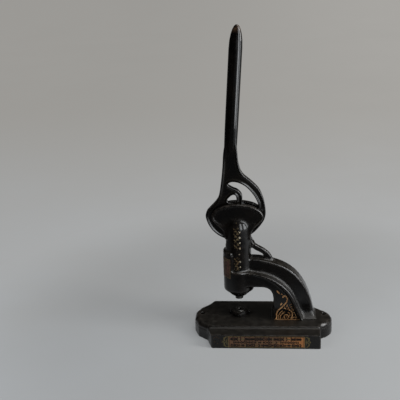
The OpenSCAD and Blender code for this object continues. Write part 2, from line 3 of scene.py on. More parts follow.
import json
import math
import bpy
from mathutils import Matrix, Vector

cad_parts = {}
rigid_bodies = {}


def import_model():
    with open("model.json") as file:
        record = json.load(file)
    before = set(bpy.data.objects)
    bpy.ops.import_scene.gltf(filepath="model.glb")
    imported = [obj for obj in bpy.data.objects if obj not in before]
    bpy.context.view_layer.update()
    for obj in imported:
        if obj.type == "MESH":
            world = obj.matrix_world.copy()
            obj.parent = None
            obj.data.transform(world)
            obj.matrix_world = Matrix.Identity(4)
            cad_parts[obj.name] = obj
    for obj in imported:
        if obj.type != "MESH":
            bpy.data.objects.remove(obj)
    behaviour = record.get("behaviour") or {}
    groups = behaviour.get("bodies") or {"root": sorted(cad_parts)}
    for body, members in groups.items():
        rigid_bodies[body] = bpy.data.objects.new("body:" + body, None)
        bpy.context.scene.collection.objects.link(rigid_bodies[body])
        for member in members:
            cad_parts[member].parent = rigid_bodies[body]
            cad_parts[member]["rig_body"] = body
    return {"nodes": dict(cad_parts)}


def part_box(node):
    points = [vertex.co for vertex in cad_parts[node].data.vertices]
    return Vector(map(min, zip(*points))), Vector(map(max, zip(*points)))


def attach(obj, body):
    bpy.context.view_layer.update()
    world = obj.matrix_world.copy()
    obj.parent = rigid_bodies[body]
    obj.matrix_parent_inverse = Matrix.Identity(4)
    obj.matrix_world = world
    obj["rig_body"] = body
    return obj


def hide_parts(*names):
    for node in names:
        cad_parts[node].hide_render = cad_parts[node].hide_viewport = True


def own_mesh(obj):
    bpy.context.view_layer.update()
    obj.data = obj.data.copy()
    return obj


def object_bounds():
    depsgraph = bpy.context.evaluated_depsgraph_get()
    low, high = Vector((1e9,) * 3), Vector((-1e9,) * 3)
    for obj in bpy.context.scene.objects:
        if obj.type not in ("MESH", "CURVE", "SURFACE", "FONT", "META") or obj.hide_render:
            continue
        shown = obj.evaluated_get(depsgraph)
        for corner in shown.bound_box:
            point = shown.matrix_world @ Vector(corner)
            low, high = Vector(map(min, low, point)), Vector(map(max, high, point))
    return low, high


bl_info = {
    "name": "Hand Lever Press",
    "version": (1, 0, 0),
    "blender": (4, 5, 0),
    "location": "View3D > Sidebar > Press",
    "description": "Builds the castings, steel parts, transfers and stage of a hand lever press",
    "category": "Object",
}

import bmesh
import bpy
import numpy as np
from mathutils import Matrix, Vector
from mathutils.kdtree import KDTree

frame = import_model()
CAD_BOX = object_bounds()
MM = 0.001

# Places that the model gives
BASE_LO, BASE_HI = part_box("base")
FRAME_LO, FRAME_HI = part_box("frame")
LEVER_LO, LEVER_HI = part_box("lever")
RAM_LO, RAM_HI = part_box("ram")
BUSH_LO, BUSH_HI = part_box("hub_bush")
SPRING_LO, SPRING_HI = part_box("return_spring")
RAM_X = (RAM_LO.x + RAM_HI.x) / 2
PIVOT = (BUSH_LO + BUSH_HI) / 2
BASE_TOP = FRAME_LO.z
LEDGE_FRONT = BASE_LO.y

# Faces of the castings, and how they are worked
WEB_FRONT = -22 * MM
CHEEK_Y = 13 * MM
COLUMN_R = 20 * MM
BARREL_R = 24 * MM
LEVER_HALF = 5 * MM
HOLE_INSET = 12 * MM
HOLE_ROOM = 6 * MM
FULL_WEAR = 0.35 * MM


# ---------- Numbers ----------


def ease(value, low, high):
    """0 at low, 1 at high, with a smooth run between them."""
    t = np.clip((np.asarray(value, float) - low) / (high - low), 0, 1)
    return t * t * (3 - 2 * t)


def smooth_path(points, steps=6):
    """Points of a smooth curve through the given ones."""
    p = [np.array(q, float) for q in points]
    if len(p) < 3:
        return [p[0] + (p[-1] - p[0]) * k / steps for k in range(steps + 1)]
    made = []
    for i in range(len(p) - 1):
        a, b, c, d = p[max(i - 1, 0)], p[i], p[i + 1], p[min(i + 2, len(p) - 1)]
        for k in range(steps):
            t = k / steps
            made.append(
                0.5 * (2 * b + (c - a) * t + (2 * a - 5 * b + 4 * c - d) * t * t + (3 * b - a - 3 * c + d) * t ** 3)
            )
    made.append(p[-1])
    return made


# ---------- Castings ----------


class Skin:
    """The even mesh of a casting, held as arrays while it is worked."""

    def __init__(self, mesh):
        self.mesh = mesh
        self.co = np.empty(len(mesh.vertices) * 3)
        mesh.vertices.foreach_get("co", self.co)
        self.co = self.co.reshape(-1, 3)
        self.edges = np.empty(len(mesh.edges) * 2, int)
        mesh.edges.foreach_get("vertices", self.edges)
        self.edges = self.edges.reshape(-1, 2)
        self.degree = np.maximum(np.bincount(self.edges.ravel(), minlength=len(self.co)), 1)[:, None]

    def store(self):
        """Writes the worked places back to the mesh."""
        self.mesh.vertices.foreach_set("co", self.co.ravel())
        self.mesh.update()

    def normals(self):
        """The direction that each point faces."""
        self.store()
        found = np.empty(len(self.co) * 3)
        self.mesh.vertex_normals.foreach_get("vector", found)
        return found.reshape(-1, 3)

    def soften(self, steps, weight=None, share=0.5):
        """Rounds edges and corners, more with more steps."""
        a, b = self.edges[:, 0], self.edges[:, 1]
        count = len(self.co)
        for _ in range(steps):
            near = np.stack(
                [np.bincount(a, self.co[b, k], count) + np.bincount(b, self.co[a, k], count) for k in range(3)], 1
            )
            step = (near / self.degree - self.co) * share
            self.co = self.co + (step if weight is None else step * weight[:, None])

    def keep_within(self, node):
        """Holds every point inside the box of the CAD part."""
        low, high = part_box(node)
        self.co = np.clip(self.co, np.array(low), np.array(high))

    def note_wear(self, reach):
        """Notes on each point how far its edge is worn, how deep its corner lies and how far it faces up, which takes
        settled dirt and in part stands in for the grey sheen that top faces take from the light.
        """
        facing = self.normals()
        held = self.co.copy()
        self.soften(reach)
        proud = ((held - self.co) * facing).sum(1) / FULL_WEAR
        self.co = held
        self.store()
        for name, value in (
            ("worn", np.clip(proud, 0, 1)),
            ("nook", np.clip(-proud, 0, 1)),
            # Faces turned up: settled dirt, and in part a painted sheen from the light above.
            ("dust_and_sheen", ease(facing[:, 2], 0.55, 0.98)),
        ):
            layer = self.mesh.attributes.new(name, "FLOAT", "POINT")
            layer.data.foreach_set("value", value.astype(np.float32))

    def note(self, name, where, level):
        """Sets a noted value where the shape alone doesn't tell it."""
        layer = self.mesh.attributes[name].data
        value = np.empty(len(self.co), np.float32)
        layer.foreach_get("value", value)
        value[where] = level
        layer.foreach_set("value", value)


def link_piece(name, mesh):
    """An object for the mesh, in the scene."""
    piece = bpy.data.objects.new(name, mesh)
    bpy.context.scene.collection.objects.link(piece)
    return piece


def evaluated_mesh(piece):
    """The mesh of a piece with its modifiers worked in, and the modifiers gone."""
    depsgraph = bpy.context.evaluated_depsgraph_get()
    mesh = bpy.data.meshes.new_from_object(piece.evaluated_get(depsgraph))
    piece.modifiers.clear()
    old = piece.data
    piece.data = mesh
    bpy.data.meshes.remove(old)
    return mesh


def welded_copy(node):
    """A copy of a CAD part's mesh with its seams joined."""
    mesh = frame["nodes"][node].data.copy()
    mesh.materials.clear()
    work = bmesh.new()
    work.from_mesh(mesh)
    bmesh.ops.remove_doubles(work, verts=work.verts, dist=0.002 * MM)
    work.to_mesh(mesh)
    work.free()
    return mesh


def even_skin(piece, voxel):
    """Gives a piece one even skin and returns it as arrays."""
    remesh = piece.modifiers.new("Even skin", "REMESH")
    remesh.mode = "VOXEL"
    remesh.voxel_size = voxel
    return Skin(evaluated_mesh(piece))


def casting(node, voxel):
    """A piece for a casting, and its skin to work on."""
    piece = link_piece(node + "_casting", welded_copy(node))
    return piece, even_skin(piece, voxel)


def stands_for(piece, node, material):
    """Puts a finished piece in a CAD part's place: its body and its finish."""
    piece.data.materials.clear()
    piece.data.materials.append(material)
    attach(piece, frame["nodes"][node]["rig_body"])
    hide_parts(node)
    return piece


def shade_smooth(mesh, sharp_from=None):
    """Shades a mesh smoothly, with edges kept above an angle in degrees."""
    mesh.shade_smooth()
    if sharp_from:
        mesh.set_sharp_from_angle(angle=math.radians(sharp_from))


def distance_to(points, targets):
    """How far each of the points, given in two directions, lies from the nearest target."""
    tree = KDTree(len(targets))
    for i, (u, v) in enumerate(targets):
        tree.insert((u, v, 0), i)
    tree.balance()
    return np.array([tree.find((u, v, 0))[2] for u, v in points])


def build_base(sizes):
    """The base plate: tabs with a big round over, a crease under it and a sharp ledge."""
    piece, skin = casting("base", sizes.base_voxel)
    facing = skin.normals()
    x, y, z = skin.co.T
    plain_round, crease_drop, crease_half_w, crease_depth = 1.2 * MM, 1.0 * MM, 1.3 * MM, 0.55 * MM
    hole_x = max(abs(x.min()), abs(x.max())) - HOLE_INSET
    clear_of_holes = np.hypot(np.abs(x) - hole_x, y) > HOLE_ROOM
    clear_of_die = np.hypot(x - RAM_X, y) > 9 * MM
    under_frame = (x > 20 * MM) & (x < 72 * MM) & (np.abs(y) < 20 * MM)
    wall = (np.abs(facing[:, 2]) < 0.3) & (z > 18.5 * MM) & (z < 21.5 * MM)
    wall &= clear_of_holes & clear_of_die & ~under_frame
    upper = np.flatnonzero(z > 15 * MM)
    inside = distance_to(skin.co[upper][:, :2], skin.co[wall][:, :2])
    tab = np.maximum(ease(-x[upper], 77 * MM, 88 * MM), ease(x[upper], 85 * MM, 93 * MM))
    radius = plain_round + (sizes.tab_round - plain_round) * tab
    depth = np.clip(radius - inside, 0, radius)
    top = BASE_TOP - radius + np.sqrt(np.maximum(radius ** 2 - depth ** 2, 0))
    skin.co[upper, 2] = np.minimum(skin.co[upper, 2], top)
    skin.store()
    skin = even_skin(piece, sizes.base_voxel)
    skin.soften(3)
    facing = skin.normals()
    x, y, z = skin.co.T
    tab = np.maximum(ease(-x, 84 * MM, 90 * MM), ease(x, 90 * MM, 93 * MM)) * (np.abs(facing[:, 2]) < 0.55)
    crease_z = BASE_TOP - sizes.tab_round - crease_drop
    groove = np.clip(1 - ((z - crease_z) / crease_half_w) ** 2, 0, 1)
    groove *= tab * (np.hypot(np.abs(x) - hole_x, y) > HOLE_ROOM)
    skin.co -= facing * (groove * crease_depth)[:, None]
    front = skin.co[:, 1] < LEDGE_FRONT + 0.2 * MM
    skin.co[front, 1] = np.maximum(skin.co[front, 1], LEDGE_FRONT + sizes.transfer_seat)
    skin.keep_within("base")
    skin.note_wear(10)
    # The bolt holes are kept clear of the pale top and corner colour, so they stay black: painted shade inside the
    # holes.
    hole_shade = np.hypot(np.abs(skin.co[:, 0]) - hole_x, skin.co[:, 1]) < 4.2 * MM
    for name in ("dust_and_sheen", "nook"):
        skin.note(name, hole_shade, 0)
    shade_smooth(piece.data)
    return stands_for(piece, "base", finish("base_japan"))


def dish(skin, facing, side, depth):
    """Sinks the oval field of one cheek inside its rim."""
    x, y, z = skin.co[:, 0] - PIVOT.x, skin.co[:, 1] * side, skin.co[:, 2] - PIVOT.z
    half_w, half_h = (FRAME_HI.z - PIVOT.z) * 2, FRAME_HI.z - PIVOT.z
    level = np.sqrt((x / half_w) ** 2 + (z / half_h) ** 2)
    slope = np.sqrt((x / half_w ** 2) ** 2 + (z / half_h ** 2) ** 2) / np.maximum(level, 1e-6)
    inside = (1 - level) / np.maximum(slope, 1e-6)
    field = ease(inside, 2.2 * MM, 3.8 * MM) * ease(z, -15 * MM, -9 * MM)
    if side > 0:
        field *= ease(np.hypot(x, z), 14 * MM, 16 * MM)
    on_face = (np.abs(y - CHEEK_Y) < 0.6 * MM) & (facing[:, 1] * side > 0.6)
    skin.co[on_face, 1] -= side * depth * field[on_face]


def clear_ram(skin, room):
    """Keeps the frame's bore clear of the ram all along it."""
    x, y, z = skin.co[:, 0] - RAM_X, skin.co[:, 1], skin.co[:, 2]
    away = np.maximum(np.hypot(x, y), 1e-6)
    wanted = (RAM_HI.x - RAM_LO.x) / 2 + room
    near = (away < wanted) & (away > wanted - 1.5 * MM) & (z > RAM_LO.z) & (z < RAM_HI.z + MM)
    skin.co[near, 0] = RAM_X + x[near] * wanted / away[near]
    skin.co[near, 1] = y[near] * wanted / away[near]


def build_frame(sizes):
    """The frame: one casting from the foot of the heel to the cheeks, with rounded edges and hollow corners."""
    piece, skin = casting("frame", sizes.frame_voxel)
    skin.soften(sizes.edge_steps)
    facing = skin.normals()
    for side in (-1, 1):
        dish(skin, facing, side, sizes.cheek_dish)
    x, y, z = skin.co.T
    arm = (np.abs(y) < 12.8 * MM) & (x > RAM_X + 27 * MM) & (z > BASE_TOP + 3 * MM)
    strut = (np.abs(y) < 9 * MM) & (z > 125.5 * MM) & (x < 19 * MM)
    weight = np.where(arm & ~strut, 1.0, 0.0) + np.where(strut & arm, 0.1, 0.0)
    skin.soften(sizes.arm_steps, weight)
    x, y, z = skin.co.T
    crown = ease(z, PIVOT.z - 38 * MM, PIVOT.z - 22 * MM) * (1 - ease(z, PIVOT.z - 6 * MM, PIVOT.z + 2 * MM))
    crown *= (y < -11 * MM) * (1 - ease(np.abs(x - PIVOT.x), 20 * MM, 26 * MM))
    heel = ease(x, 57 * MM, 63 * MM) * ease(z, BASE_TOP + 1 * MM, BASE_TOP + 4 * MM)
    heel *= 1 - ease(z, BASE_TOP + 16 * MM, BASE_TOP + 24 * MM)
    step = (np.abs(x - RAM_X + 8 * MM) < 7 * MM) & (y < -14 * MM) & (z > 108 * MM) & (z < 134 * MM)
    skin.soften(sizes.crown_steps, np.maximum(np.maximum(crown, heel), 1.0 * step))
    skin.soften(2)
    clear_ram(skin, sizes.bore_room)
    skin.keep_within("frame")
    skin.note_wear(10)
    toe = (skin.co[:, 0] > 60 * MM) & (skin.co[:, 2] < BASE_TOP + 9 * MM)
    for name, level in (("worn", 0), ("nook", 1)):
        skin.note(name, toe, level)
    shade_smooth(piece.data)
    return stands_for(piece, "frame", finish("japan"))


def build_lever(sizes):
    """The lever: its plate sunk between raised rims, its handle full and round."""
    piece, skin = casting("lever", sizes.lever_voxel)
    facing = skin.normals()
    x, y, z = skin.co[:, 0] - PIVOT.x, skin.co[:, 1], skin.co[:, 2] - PIVOT.z
    face = np.flatnonzero((np.abs(np.abs(y) - LEVER_HALF) < 0.3 * MM) & (np.abs(facing[:, 1]) > 0.6) & (z < 112 * MM))
    wall = (np.abs(facing[:, 1]) < 0.5) & (np.abs(y) < 2 * MM) & (z < 130 * MM)
    inside = distance_to(skin.co[face][:, [0, 2]], skin.co[wall][:, [0, 2]])
    sunk = ease(inside, sizes.lever_rim, sizes.lever_rim + 1.3 * MM)
    sunk *= ease(np.hypot(x[face], z[face]), 14 * MM, 17 * MM) * (1 - ease(z[face], 70 * MM, 108 * MM))
    skin.co[face, 1] -= np.sign(y[face]) * sizes.lever_sink * sunk
    skin.soften(5)
    skin.keep_within("lever")
    near_hub = np.hypot(skin.co[:, 0] - PIVOT.x, skin.co[:, 2] - PIVOT.z) < 70 * MM
    skin.co[near_hub, 1] = np.clip(skin.co[near_hub, 1], -LEVER_HALF, LEVER_HALF)
    skin.note_wear(8)
    shade_smooth(piece.data)
    return stands_for(piece, "lever", finish("handle_japan"))


def build_nose_cap(sizes):
    """The stepped nose cap."""
    piece, skin = casting("nose_cap", sizes.cap_voxel)
    skin.soften(3)
    skin.keep_within("nose_cap")
    skin.note_wear(6)
    shade_smooth(piece.data)
    return stands_for(piece, "nose_cap", finish("japan"))


# ---------- Machined parts ----------


def machined(node, edge, material):
    """A CAD part with its edges broken, as left by the lathe and the file."""
    mesh = welded_copy(node)
    work = bmesh.new()
    work.from_mesh(mesh)
    bmesh.ops.dissolve_limit(work, angle_limit=math.radians(1), verts=work.verts, edges=work.edges)
    work.to_mesh(mesh)
    work.free()
    piece = link_piece(node + "_turned", mesh)
    bevel = piece.modifiers.new("Broken edges", "BEVEL")
    bevel.width = edge
    bevel.segments = 2
    bevel.limit_method = "ANGLE"
    bevel.angle_limit = math.radians(40)
    skin = Skin(evaluated_mesh(piece))
    skin.keep_within(node)
    skin.note_wear(1)
    shade_smooth(piece.data, 35)
    return stands_for(piece, node, material)


def machine_all(edge, parts):
    """Machined parts, each given by its node, its edge as a share of the usual one, and its finish."""
    for node, share, material in parts:
        machined(node, edge * share, finish(material))


def build_spring(sizes):
    """The return spring's coil, wound between the ends of its CAD part."""
    wire = 1.1 * MM
    coil_r = (SPRING_HI.x - SPRING_LO.x) / 2 - wire
    turns, per_turn, around = 7, 32, 12
    low, high = SPRING_LO.z + wire, SPRING_HI.z - wire
    rise = 2 * wire + 0.1 * MM
    verts, faces = [], []
    for k in range(turns * per_turn + 1):
        t = k / per_turn
        middle = (high - low - 2 * rise) / (turns - 2)
        z = low + rise * min(t, 1) + middle * min(max(t - 1, 0), turns - 2) + rise * max(t - turns + 1, 0)
        a = 2 * math.pi * t
        for i in range(around):
            w = 2 * math.pi * i / around
            r = coil_r + wire * math.cos(w)
            verts.append((RAM_X + r * math.cos(a), r * math.sin(a), z + wire * math.sin(w)))
    for k in range(turns * per_turn):
        for i in range(around):
            j = (i + 1) % around
            a = k * around
            faces.append((a + i, a + around + i, a + around + j, a + j))
    last = turns * per_turn * around
    faces += [tuple(range(around)), tuple(last + i for i in reversed(range(around)))]
    mesh = bpy.data.meshes.new("return_spring_coil")
    mesh.from_pydata(verts, [], faces)
    piece = link_piece("return_spring_coil", mesh)
    skin = Skin(mesh)
    skin.keep_within("return_spring")
    skin.note_wear(1)
    shade_smooth(mesh, 50)
    stands_for(piece, "return_spring", finish("dark_steel"))
    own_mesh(piece)
    return piece


# ---------- Transfers ----------


LEAF = 0.12


class Transfer:
    """Thin gilt and coloured shapes laid on a casting. Lengths along the surface are in millimetres."""

    ROOT = -0.15

    def __init__(self, place):
        self.place = place
        self.verts, self.faces = [], []

    def ribbon(self, points, width, top, pointed=False, steps=6):
        """A strip along a smooth path, of an even width or running to a point at both ends."""
        path = smooth_path(points, steps)
        start, count = len(self.verts), len(path)
        for i, p in enumerate(path):
            along = path[min(i + 1, count - 1)] - path[max(i - 1, 0)]
            along = along / max(np.hypot(*along), 1e-9)
            across = np.array([-along[1], along[0]])
            half = width / 2 * (max(math.sin(math.pi * i / (count - 1)), 0.12) if pointed else 1)
            for offset, height in ((half, self.ROOT), (half, top), (-half, top), (-half, self.ROOT)):
                self.verts.append(self.place(*(p + across * offset), height))
        for i in range(count - 1):
            a = start + 4 * i
            for k in range(4):
                j = (k + 1) % 4
                self.faces.append((a + k, a + j, a + 4 + j, a + 4 + k))
        last = start + 4 * (count - 1)
        self.faces += [(start + 3, start + 2, start + 1, start), (last, last + 1, last + 2, last + 3)]

    def dot(self, u, v, radius, top, sides=12, stretch=1.0):
        """A round or oval spot."""
        start = len(self.verts)
        for height in (self.ROOT, top):
            for i in range(sides):
                a = 2 * math.pi * i / sides
                self.verts.append(
                    self.place(u + radius * math.cos(a), v + radius * stretch * math.sin(a), height)
                )
        low = [start + i for i in range(sides)]
        high = [start + sides + i for i in range(sides)]
        self.faces += [tuple(reversed(low)), tuple(high)]
        for i in range(sides):
            j = (i + 1) % sides
            self.faces.append((low[i], low[j], high[j], high[i]))

    def curl(self, u, v, radius, turn_from, turn_to, width, top, shrink=0.0):
        """An arc or a closing spiral round a point, between two angles in degrees."""
        count = max(4, int(abs(turn_to - turn_from) / 28))
        points = []
        for k in range(count + 1):
            share = k / count
            a = math.radians(turn_from + (turn_to - turn_from) * share)
            r = radius * (1 - shrink * share)
            points.append((u + r * math.cos(a), v + r * math.sin(a)))
        self.ribbon(points, width, top, steps=3)

    def sheet(self, left, right, low, high, top, step=1.5):
        """A field that follows the surface."""
        nu = max(1, int((right - left) / step))
        nv = max(1, int((high - low) / step))
        start = len(self.verts)
        for height in (self.ROOT, top):
            for j in range(nv + 1):
                for i in range(nu + 1):
                    self.verts.append(
                        self.place(left + (right - left) * i / nu, low + (high - low) * j / nv, height)
                    )
        layer = (nu + 1) * (nv + 1)

        def at(i, j, upper):
            return start + upper * layer + j * (nu + 1) + i

        for j in range(nv):
            for i in range(nu):
                self.faces.append((at(i, j, 1), at(i + 1, j, 1), at(i + 1, j + 1, 1), at(i, j + 1, 1)))
                self.faces.append((at(i, j + 1, 0), at(i + 1, j + 1, 0), at(i + 1, j, 0), at(i, j, 0)))
        for i in range(nu):
            self.faces.append((at(i, 0, 0), at(i + 1, 0, 0), at(i + 1, 0, 1), at(i, 0, 1)))
            self.faces.append((at(i + 1, nv, 0), at(i, nv, 0), at(i, nv, 1), at(i + 1, nv, 1)))
        for j in range(nv):
            self.faces.append((at(0, j + 1, 0), at(0, j, 0), at(0, j, 1), at(0, j + 1, 1)))
            self.faces.append((at(nu, j, 0), at(nu, j + 1, 0), at(nu, j + 1, 1), at(nu, j, 1)))

    def lay(self, name, material, body, slot):
        """Makes the piece and rides it on its casting."""
        mesh = bpy.data.meshes.new(name)
        mesh.from_pydata([tuple(v) for v in self.verts], [], self.faces)
        mesh.validate()
        work = bmesh.new()
        work.from_mesh(mesh)
        bmesh.ops.recalc_face_normals(work, faces=work.faces)
        work.to_mesh(mesh)
        work.free()
        mesh.materials.append(material)
        piece = link_piece(name, mesh)
        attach(piece, body)
        return piece


def on_front(y):
    """Places on a flat front face: along X and Z, and out towards -Y."""
    return lambda u, v, height: (u * MM, y - height * MM, v * MM)


def on_round(radius):
    """Places on the column: round it from straight ahead towards +X, up it, and out from its axis."""

    def place(u, v, height):
        a = u * MM / radius
        r = radius + height * MM
        return RAM_X + r * math.sin(a), -r * math.cos(a), v * MM

    return place


def web_scroll(line):
    """A swan-necked scroll over a rising shell, on the web beside the throat."""
    gilt = Transfer(on_front(WEB_FRONT))
    for points, width in (
        ([(32, 65.5), (33, 67.6), (36, 67.2), (38.5, 63), (37.7, 57.4), (34, 52.4), (29, 47), (24, 42), (22, 37),
          (22, 30), (20, 27)], 1.7),
        ([(28, 28), (28, 33), (31, 37), (35, 40)], 1.2),
        ([(25.2, 28), (25, 33), (27, 38), (31, 42)], 0.8),
        ([(40.5, 44), (44.4, 42), (46.6, 37), (46, 32), (44, 28.6)], 1.5),
        ([(39.5, 39.5), (42, 37.5), (42.6, 34), (41.5, 30.5)], 1.0),
        ([(51, 43), (53, 39.6), (55.3, 33), (57.4, 27.8)], 0.8),
        ([(48.5, 39.8), (50.8, 36), (52.6, 31.4), (54, 28)], 0.8),
        ([(41.6, 52), (43.4, 52.2), (45.5, 54.4)], 0.9),
        ([(43.5, 48.6), (46.2, 49.4), (48.3, 48)], 0.9),
        ([(45.5, 46.4), (47.7, 42.6), (49.4, 46.4), (51, 44.4)], 0.8),
        ([(45.8, 28.6), (48, 30.6), (50.6, 31.2), (51.6, 29.2)], 1.0),
        ([(18.6, 26.9), (30, 26.8), (44, 26.8), (58.6, 26.9)], 0.9),
    ):
        gilt.ribbon(points, width * line, LEAF)
    for points, width in (
        ([(22.4, 77), (24, 74.6), (26.9, 71)], 2.2),
        ([(30.6, 56), (29.4, 53.6), (27.4, 51.4)], 1.8),
        ([(36.5, 47.6), (38.4, 50.4), (38.6, 53.6)], 1.2),
        ([(37.5, 44.5), (35.2, 46.2), (34.3, 48.6)], 1.4),
        ([(38.4, 44.5), (40.4, 46.6), (41, 49.2)], 1.2),
    ):
        gilt.ribbon(points, width * line, LEAF, pointed=True)
    gilt.dot(30, 70.4, 1.25, LEAF)
    gilt.dot(32.4, 66, 1.5, 0.13)
    gilt.curl(37, 31.6, 3.5, -60, 240, 1.2 * line, LEAF)
    gilt.dot(37, 31.6, 0.8, LEAF)
    gilt.dot(31.5, 29, 0.7, LEAF)
    return gilt.lay("web_scroll", finish("gilt"), "press", "japan")


VINE_MIDDLE = -1.6
VINE_PITCH = 4.4


def column_vine(line):
    """Two lengths of running vine up the front of the column, with pale gilt dots down its right edge that are painted
    highlights.
    """
    vine, painted_glints = Transfer(on_round(COLUMN_R)), Transfer(on_round(COLUMN_R))
    for low, high, lean in ((146, 185, 1), (110, 136, -1)):
        points, v, side = [], low, lean
        while v < high + 0.1:
            points.append((VINE_MIDDLE + 1.9 * side, v))
            v += VINE_PITCH
            side = -side
        vine.ribbon(points, 0.9 * line, LEAF, steps=4)
        for i, (u, v) in enumerate(points[:-1]):
            out = 1 if u > VINE_MIDDLE else -1
            vine.curl(u - 3.2 * out, v + 2.2, 1.9, 200 if out > 0 else -20, 20 if out > 0 else 160, 0.9 * line, LEAF)
            vine.ribbon([(u, v), (u + 1.6 * out, v + 1.8), (u + 2.2 * out, v + 3.8)], 1.7 * line, LEAF, pointed=True)
            vine.dot(u - 3.2 * out, v + 2.2, 0.7, LEAF)
            if i % 2 == 0:
                vine.dot(u - 1.2 * out, v - 1.4, 0.8, LEAF)
            # The pale dots are painted highlights: glints of light down the column's right side.
            if out > 0:
                painted_glints.dot(3.4, v + 1.6, 1.0 if i % 4 else 1.35, 0.13, stretch=1.3)
    for v in (189.6, 140.6):
        vine.dot(VINE_MIDDLE, v, 1.0, LEAF)
    # One more painted highlight, low on the column.
    painted_glints.dot(2.2, 137.4, 0.9, 0.13)
    painted_glints.lay("vine_painted_glints", finish("painted_glint_gilt"), "press", "japan")
    return vine.lay("column_vine", finish("vine_gilt"), "press", "japan")


LABEL = (-41.0, -12.6, 96.0, 129.0)
LABEL_LEAF = 0.11


def barrel_label(line):
    """A faded red label with a gilt frame, round the front of the barrel."""
    left, right, low, high = LABEL
    field = Transfer(on_round(BARREL_R))
    field.sheet(left, right, low, high, 0.06)
    field.lay("label_field", finish("label_red"), "press", "japan")
    gilt = Transfer(on_round(BARREL_R))
    for inset, width in ((0.7, 0.7), (2.1, 0.35)):
        corners = [(left + inset, low + inset), (right - inset, low + inset), (right - inset, high - inset),
                   (left + inset, high - inset)]
        for i in range(4):
            gilt.ribbon([corners[i], corners[(i + 1) % 4]], width * line, LABEL_LEAF, steps=16)
    middle = (left + right) / 2
    for side in (-1, 1):
        for k in range(5):
            v = low + 5.5 + 5.5 * k
            gilt.ribbon([(middle + 3 * side, v), (middle + 6 * side, v + 2), (middle + 9.5 * side, v - 0.4)],
                        1.1 * line, LABEL_LEAF, pointed=True)
            gilt.dot(middle + 11 * side, v + 0.8, 0.6, LABEL_LEAF)
    for k in range(4):
        gilt.dot(middle, low + 7 + 6.4 * k, 1.5, LABEL_LEAF, stretch=1.5)
    return gilt.lay("label_gilding", finish("olive_gilt"), "press", "japan")


PANEL = (-52.0, 64.0, 1.7, 21.2)
INK, RAISED = 0.07, 0.08


def band_row(ink, gilt, left, count, pitch, middle, height, line, first):
    """One row of the ledge band's small ornament: lozenges, leaning leaves, bars and beads in a running order."""
    for k in range(count):
        u = left + pitch * k
        form = (k * k * 7 + k * 3 + k // 5 + first) % 6
        if form in (0, 3):
            ink.dot(u, middle, height * 0.36, INK, sides=4, stretch=1.35)
        elif form in (1, 4):
            lean = 0.7 if form == 1 else -0.7
            ink.ribbon([(u - lean, middle - height / 2), (u + lean, middle), (u - lean, middle + height / 2)],
                       1.15 * line, INK, steps=3)
        elif form == 2:
            ink.ribbon([(u, middle - height / 2), (u, middle + height / 2)], 1.0 * line, INK, steps=2)
            ink.ribbon([(u - 1.1, middle), (u + 1.1, middle)], 0.8 * line, RAISED, steps=2)
        else:
            gilt.dot(u, middle, height * 0.22, RAISED, sides=8)


def ledge_panel(sizes, line):
    """The copper band along the ledge, with rows of small ornament and a pair of leaves at each end."""
    place = on_front(LEDGE_FRONT + sizes.transfer_seat)
    left, right, low, high = PANEL
    field = Transfer(place)
    field.sheet(left, right, low, high, 0.03, step=4)
    field.lay("panel_field", finish("panel_copper"), "press", "japan")
    ink, gilt = Transfer(place), Transfer(place)
    for v in (low + 1.2, high - 1.2):
        ink.ribbon([(left + 1.2, v), (right - 1.2, v)], 0.5, INK, steps=4)
    for u in (left + 1.2, right - 1.2):
        ink.ribbon([(u, low + 1.2), (u, high - 1.2)], 0.5, INK, steps=4)
    for inset, count, pitch, middle, height, weight, first in (
        (4.2, 46, 2.35, 16.3, 6.2, 1.6, 0),
        (8.0, 42, 2.4, 10.7, 4.0, 1.4, 2),
        (4.2, 46, 2.35, 5.6, 5.0, 1.6, 4),
    ):
        band_row(ink, gilt, left + inset, count, pitch, middle, height, line * weight, first)
    for v in (low + 0.5, high - 0.5):
        gilt.ribbon([(left, v), (right, v)], 0.8 * line, INK, steps=4)
    for end, way in ((left, -1), (right, 1)):
        gilt.ribbon([(end + 0.6 * way, low), (end + 0.6 * way, high)], 1.3 * line, INK, steps=4)
        for rises in ((20.4, 18.8, 14.4, 11.4), (2.6, 4.2, 8.6, 11.6)):
            leaf = [(end + out * way, v) for out, v in zip((1.5, 5.4, 7, 4), rises)]
            gilt.ribbon(leaf, 2.0 * line, RAISED, pointed=True)
        gilt.ribbon([(end + 3.0 * way, 16.6), (end + 3.6 * way, 11.5), (end + 3.0 * way, 6.4)], 1.6 * line, RAISED,
                    pointed=True)
        gilt.dot(end + 8.6 * way, 11.5, 1.3, RAISED, sides=4, stretch=1.6)
        for v in (18.4, 4.8):
            gilt.dot(end + 7.4 * way, v, 0.7, RAISED)
    ink.lay("panel_ink", finish("panel_ink"), "press", "japan")
    return gilt.lay("panel_gilding", finish("olive_gilt"), "press", "japan")


def ledge_corner_scroll(sizes, line):
    """The rubbed scroll at the left end of the ledge."""
    ghost = Transfer(on_front(LEDGE_FRONT + sizes.transfer_seat))
    ghost.ribbon([(-76, 17), (-72, 19.6), (-67, 18), (-66, 12), (-70, 8), (-74, 9.6), (-73.6, 13), (-70.6, 13)],
                 0.9 * line, 0.05)
    ghost.ribbon([(-66, 6), (-63, 10), (-62.4, 15), (-64, 19)], 0.7 * line, 0.05)
    return ghost.lay("corner_scroll", finish("gilt_ghost"), "press", "japan")


# ---------- Finishes ----------


